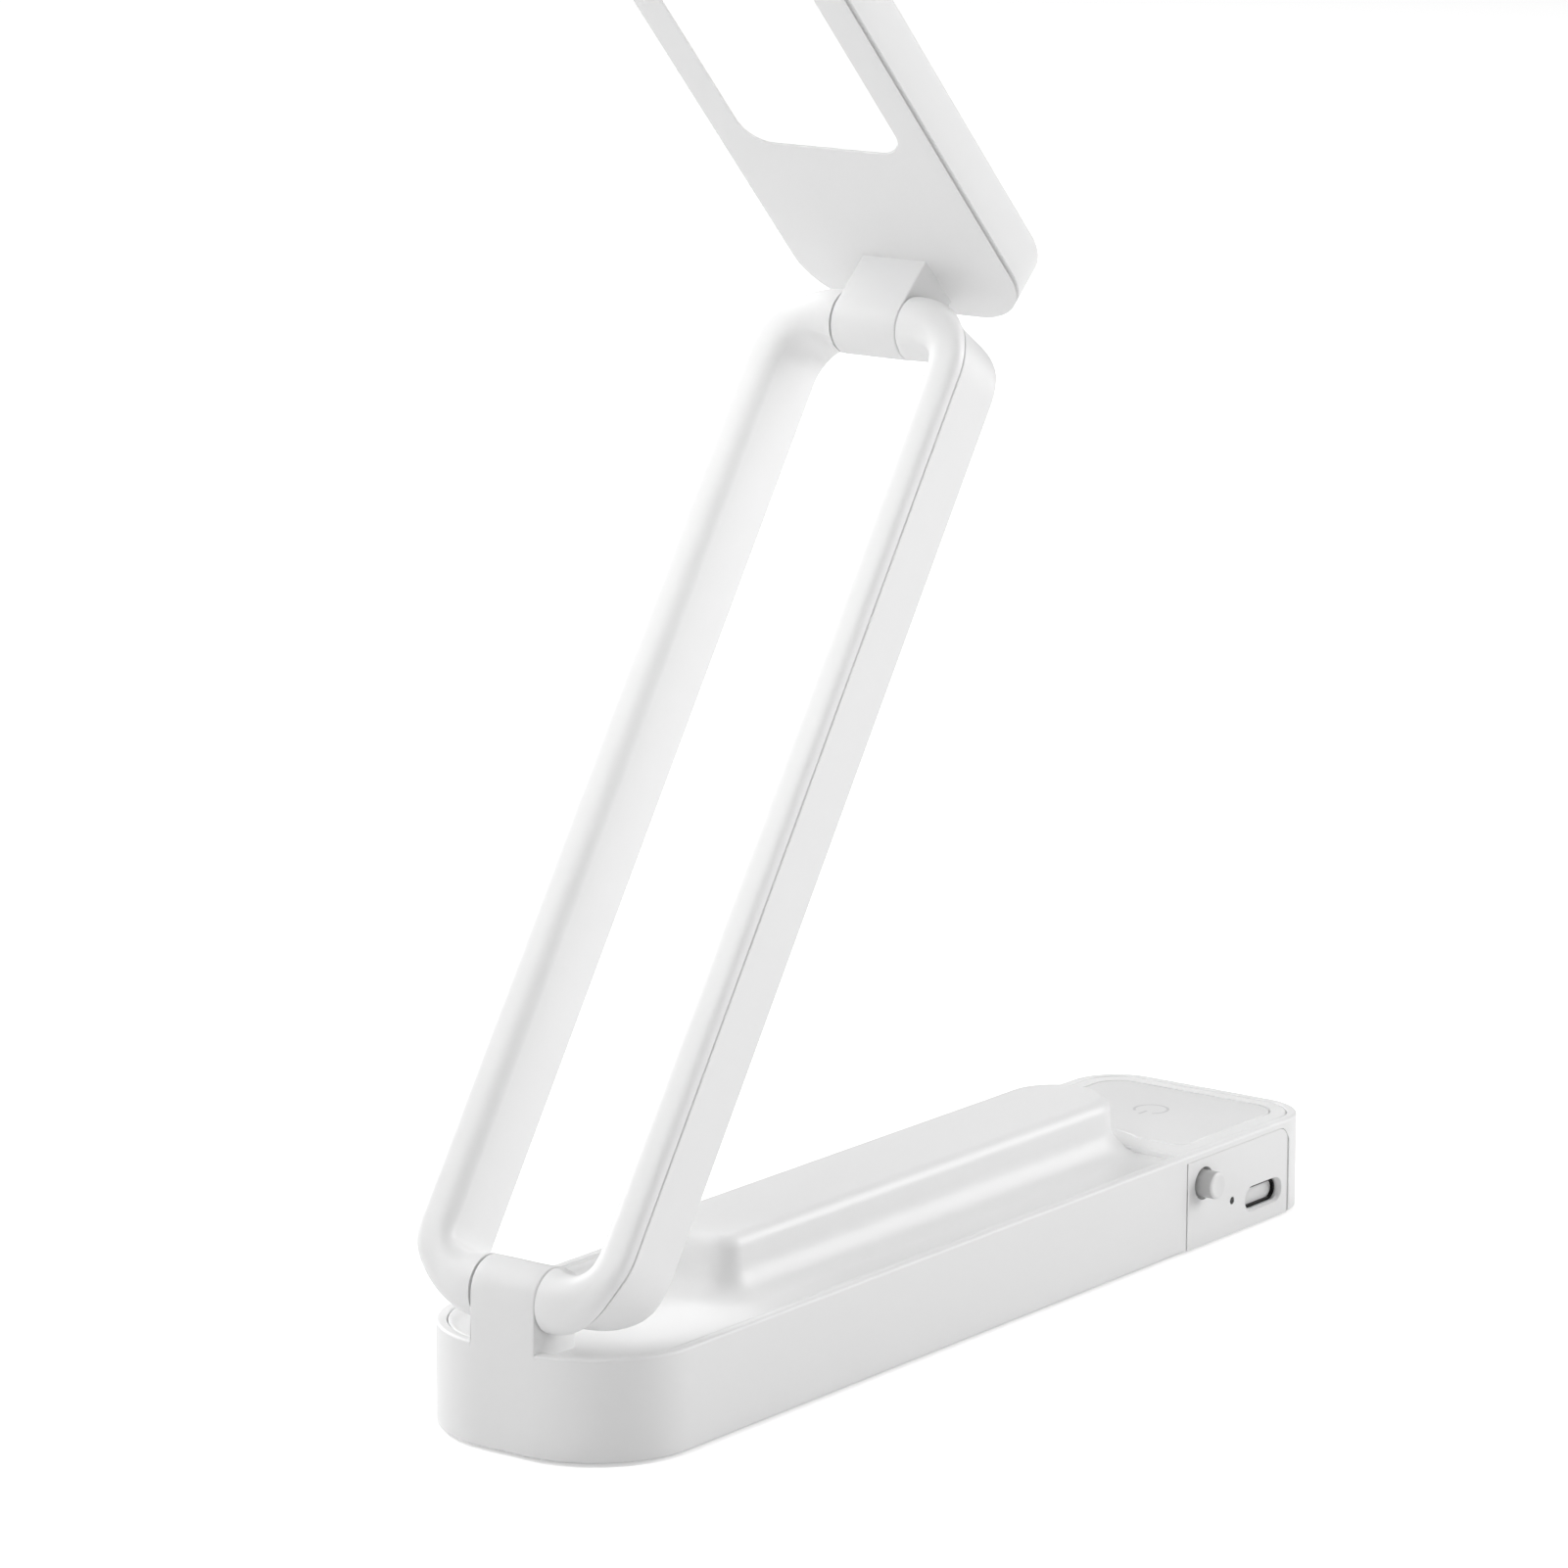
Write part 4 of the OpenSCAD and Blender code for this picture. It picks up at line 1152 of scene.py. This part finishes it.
@dataclass
class Head:
    """The flat light head: a back tray, a bezel with its hinge post, and the diffuser."""

    arm: Arm
    tilt: float = 46.7
    tail: float = 7.5
    length: float = 161.0
    half: float = 19.1
    corner: float = 10.0
    face: float = 8.6
    thick: float = 8.4
    lip: float = 0.35
    groove: float = 0.7
    groove_in: float = 1.2
    wall: float = 1.5
    window: tuple[float, float, float, float] = (-147.5, -28.2, 13.8, 4.5)
    barrel_half: float = 5.6
    barrel_edge: float = 0.28
    back_r: float = 1.1
    screw_x: float = -2.0
    screw_y: float = 11.1
    screw_r: float = 1.1
    screw_head_r: float = 2.0
    screw_depth: float = 0.9

    def place(self, p: Array) -> Array:
        """Puts head coordinates (along, across, towards the back) into the row frame."""
        c, s = math.cos(math.radians(self.tilt)), math.sin(math.radians(self.tilt))
        x, y, z = p[..., 0], p[..., 1], p[..., 2]
        knuckle = self.arm.place(np.array([self.arm.reach, 0.0, 0.0]))
        return np.stack([knuckle[0] + x * c + z * s, y, knuckle[2] - x * s + z * c], -1)

    def outline(self, inset: float) -> Array:
        """The head's outline moved inwards by an inset."""
        return plan_ring(self.tail - self.length, self.tail, self.half, self.corner, self.corner,
                         inset, 20, 12)

    def opening(self, grow: float) -> Array:
        """The light window's outline, grown outwards."""
        x0, x1, half, r = self.window
        return plan_ring(x0 - grow, x1 + grow, half + grow, r + grow, r + grow, 0, 20, 12)

    def tray(self) -> bpy.types.Object:
        """The back tray: a wall with a round back edge, open towards the bezel."""
        foot = self.face + self.lip + self.groove
        back = self.face + self.thick
        w, r = self.wall, self.back_r
        profile = np.concatenate([
            [[w + 0.4, back - w], [w, back - w - 0.4], [w, foot], [0.12, foot]],
            arc(0.12, foot + 0.12, 0.12, 270, 180, 4), [[0, back - 1.3]],
            arc(r, back - r, r, 180, 90, 10), [[2.4, back]]])
        solid = Solid()
        solid.loft(self.place(level_rings(self.outline, profile)))
        obj = build_object("head_tray", solid)
        below, seat, above = foot - 0.5, back - self.screw_depth, back + 1
        turned = np.array([[0.0, below], [self.screw_r, below], [self.screw_r, seat],
                           [self.screw_head_r, seat], [self.screw_head_r, above], [0.0, above]])
        holes = Solid()
        for y in (-self.screw_y, self.screw_y):

            def spot(p: Array, at: float = y) -> Array:
                """Stands a turned profile on a screw's axis."""
                local = np.stack([self.screw_x + p[..., 0], at + p[..., 1], p[..., 2]], -1)
                return self.place(local)

            holes.loft(lathe(turned, spot, 48), caps=False)
        combine(obj, holes, "DIFFERENCE")
        return obj

    def bezel(self) -> bpy.types.Object:
        """The bezel, from the groove over its bevelled edge to the window, and the hinge post."""
        f, g = self.face, self.face + self.lip
        foot = g + self.groove + 0.6
        outer = level_rings(self.outline, (
            (self.groove_in, foot), (self.groove_in, g), (0.1, g), (0.0, g - 0.08),
            (0.06, g - 0.16), (1.35, f + 0.02), (1.6, f), (2.4, f)))
        inner = level_rings(self.opening, (
            (0.4, f), (0.12, f), (0.04, f + 0.04), (0.0, f + 0.12), (0.0, foot)))
        solid = Solid()
        solid.sheet(self.place(np.concatenate([outer, inner])))
        r = self.arm.bar_r
        rings = []
        shrink = barrel_end(self.barrel_half, self.barrel_edge)
        for y, soften in [(-y, s) for y, s in shrink[::-1]] + shrink:
            under = arc(0, 0, r - soften, 180, 360, 36)
            ring = np.concatenate([under, [[r - soften, f + 0.5], [-r + soften, f + 0.5]]])
            rings.append(np.column_stack([ring[:, 0], np.full(len(ring), y), ring[:, 1]]))
        solid.loft(self.place(np.array(rings)))
        return build_object("face_bezel", solid)

    def diffuser(self) -> bpy.types.Object:
        """The milky diffuser: a plate in the window with a soft edge, just below the face."""
        top = self.face + 0.22
        rings = level_rings(self.opening, ((-0.08, top + 1.2), (-0.08, top + 0.1),
                                           (-0.12, top + 0.04), (-0.2, top), (-1.2, top)))
        solid = Solid()
        solid.loft(self.place(rings))
        return build_object("light_diffuser", solid)

    def build(self) -> list[Piece]:
        """Builds and dresses the head.

        Returns:
            Its new pieces.
        """
        return [
            Piece(self.tray(), "head", "shell_white", Finishes.SHELL, ("head_shell",)),
            Piece(self.bezel(), "head", "shell_white", Finishes.BEZEL, ("head_bezel",)),
            Piece(self.diffuser(), "head", "diffuser_milk", Finishes.MILK, ("diffuser",)),
        ]


# ---------------------------------------------------------------- studio


@dataclass
class Studio:
    """Floor, lamps, world and the camera at the photograph's viewing angle."""

    eye: tuple[float, float, float] = (-802.04, -579.83, 294.73)
    right: tuple[float, float, float] = (0.59797, -0.80151, 0.00316)
    up: tuple[float, float, float] = (0.16888, 0.12984, 0.97705)
    focal_px: float = 7152.8
    image_px: float = 1601.0
    sensor: float = 36.0

    def camera(self) -> None:
        """Stands the camera by its right and up axes, with the focal length in picture widths."""
        data = bpy.data.cameras.new("view")
        data.sensor_width = self.sensor
        data.lens = self.focal_px / self.image_px * self.sensor
        data.clip_start, data.clip_end = 0.01, 20.0
        cam = bpy.data.objects.new("view", data)
        bpy.context.scene.collection.objects.link(cam)
        right, up = Vector(self.right).normalized(), Vector(self.up)
        back = right.cross(up).normalized()
        up = back.cross(right)
        turn = Matrix((right, up, back)).transposed().to_4x4()
        cam.matrix_world = Matrix.Translation(Vector(self.eye) * MM) @ turn
        bpy.context.scene.camera = cam

    def lamp(self, name: str, at: tuple[float, float, float], size: float, watts: float,
             target: tuple[float, float, float] = (0, 0, 0.1), spread: float = 180.0) -> None:
        """Adds a square soft lamp.

        Args:
            name: its name.
            at: its place in metres.
            size: its side in metres.
            watts: its power.
            target: the place it faces in metres, by default the object's middle.
            spread: how far its light fans out, in degrees.
        """
        data = bpy.data.lights.new(name, "AREA")
        data.size = size
        data.energy = watts
        data.spread = math.radians(spread)
        lamp = bpy.data.objects.new(name, data)
        bpy.context.scene.collection.objects.link(lamp)
        lamp.location = at
        lamp.rotation_euler = (Vector(target) - Vector(at)).to_track_quat("-Z", "Y").to_euler()

    def world(self) -> None:
        """A pale even world that the camera sees as white."""
        world = bpy.data.worlds.new("studio")
        bpy.context.scene.world = world
        world.use_nodes = True
        tree = world.node_tree
        back = tree.nodes["Background"]
        back.inputs["Color"].default_value = (1, 1, 1, 1)
        back.inputs["Strength"].default_value = 0.24
        white = tree.nodes.new("ShaderNodeBackground")
        white.inputs["Color"].default_value = (1, 1, 1, 1)
        white.inputs["Strength"].default_value = 1.0
        path = tree.nodes.new("ShaderNodeLightPath")
        mix = tree.nodes.new("ShaderNodeMixShader")
        tree.links.new(path.outputs["Is Camera Ray"], mix.inputs[0])
        tree.links.new(back.outputs[0], mix.inputs[1])
        tree.links.new(white.outputs[0], mix.inputs[2])
        tree.links.new(mix.outputs[0], tree.nodes["World Output"].inputs["Surface"])

    def floor(self) -> None:
        """A wide pale floor that keeps the object's shadow."""
        mesh = bpy.data.meshes.new("floor")
        s = 6.0
        mesh.from_pydata([(-s, -s, 0), (s, -s, 0), (s, s, 0), (-s, s, 0)], [], [[0, 1, 2, 3]])
        obj = bpy.data.objects.new("floor", mesh)
        bpy.context.scene.collection.objects.link(obj)
        mat = bpy.data.materials.new("pale_floor")
        mat.use_nodes = True
        tree = mat.node_tree
        shader = tree.nodes["Principled BSDF"]
        shader.inputs["Roughness"].default_value = 0.9
        shader.inputs["Base Color"].default_value = (0.86, 0.86, 0.86, 1)
        glow = tree.nodes.new("ShaderNodeEmission")
        glow.inputs["Strength"].default_value = 0.5
        add = tree.nodes.new("ShaderNodeAddShader")
        path = tree.nodes.new("ShaderNodeLightPath")
        mix = tree.nodes.new("ShaderNodeMixShader")
        tree.links.new(shader.outputs[0], add.inputs[0])
        tree.links.new(glow.outputs[0], add.inputs[1])
        tree.links.new(path.outputs["Is Camera Ray"], mix.inputs[0])
        tree.links.new(shader.outputs[0], mix.inputs[1])
        tree.links.new(add.outputs[0], mix.inputs[2])
        tree.links.new(mix.outputs[0], tree.nodes["Material Output"].inputs["Surface"])
        mesh.materials.append(mat)

    def build(self) -> None:
        """Sets the whole studio up."""
        bpy.context.scene.view_settings.view_transform = "Standard"
        self.camera()
        self.world()
        self.floor()
        self.lamp("side_lamp", (1.35, -1.15, 0.75), 1.2, 22.8)
        self.lamp("high_lamp", (-1.1, 0.5, 1.5), 1.2, 12.6)
        self.lamp("knuckle_lamp", (-0.75, -0.2, 0.36), 0.25, 0.042, (-0.004, 0, 0.155), 17.0)
        self.lamp("back_lamp", (0.2, 1.6, 0.8), 1.2, 21.0)
        self.lamp("top_lamp", (-0.2, 0.1, 1.9), 1.2, 5.0)


def dress_carried(nodes: dict[str, bpy.types.Object]) -> None:
    """Gives each carried node of the frame its finish.

    Args:
        nodes: the frame's nodes by name.
    """
    for name, finish in CARRIED.items():
        mesh = nodes[name].data
        mesh.materials.clear()
        mesh.materials.append(finish.material())


def main() -> None:
    """Loads the frame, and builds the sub-assemblies in order."""
    logging.basicConfig(level=logging.INFO, format="%(name)s: %(message)s")
    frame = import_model()
    dress_carried(frame["nodes"])
    arm = Arm()
    for part in (Base(), arm, Head(arm)):
        for piece in part.build():
            piece.dress()
    Studio().build()
    bpy.context.view_layer.update()


if __name__ == "__main__":
    main()
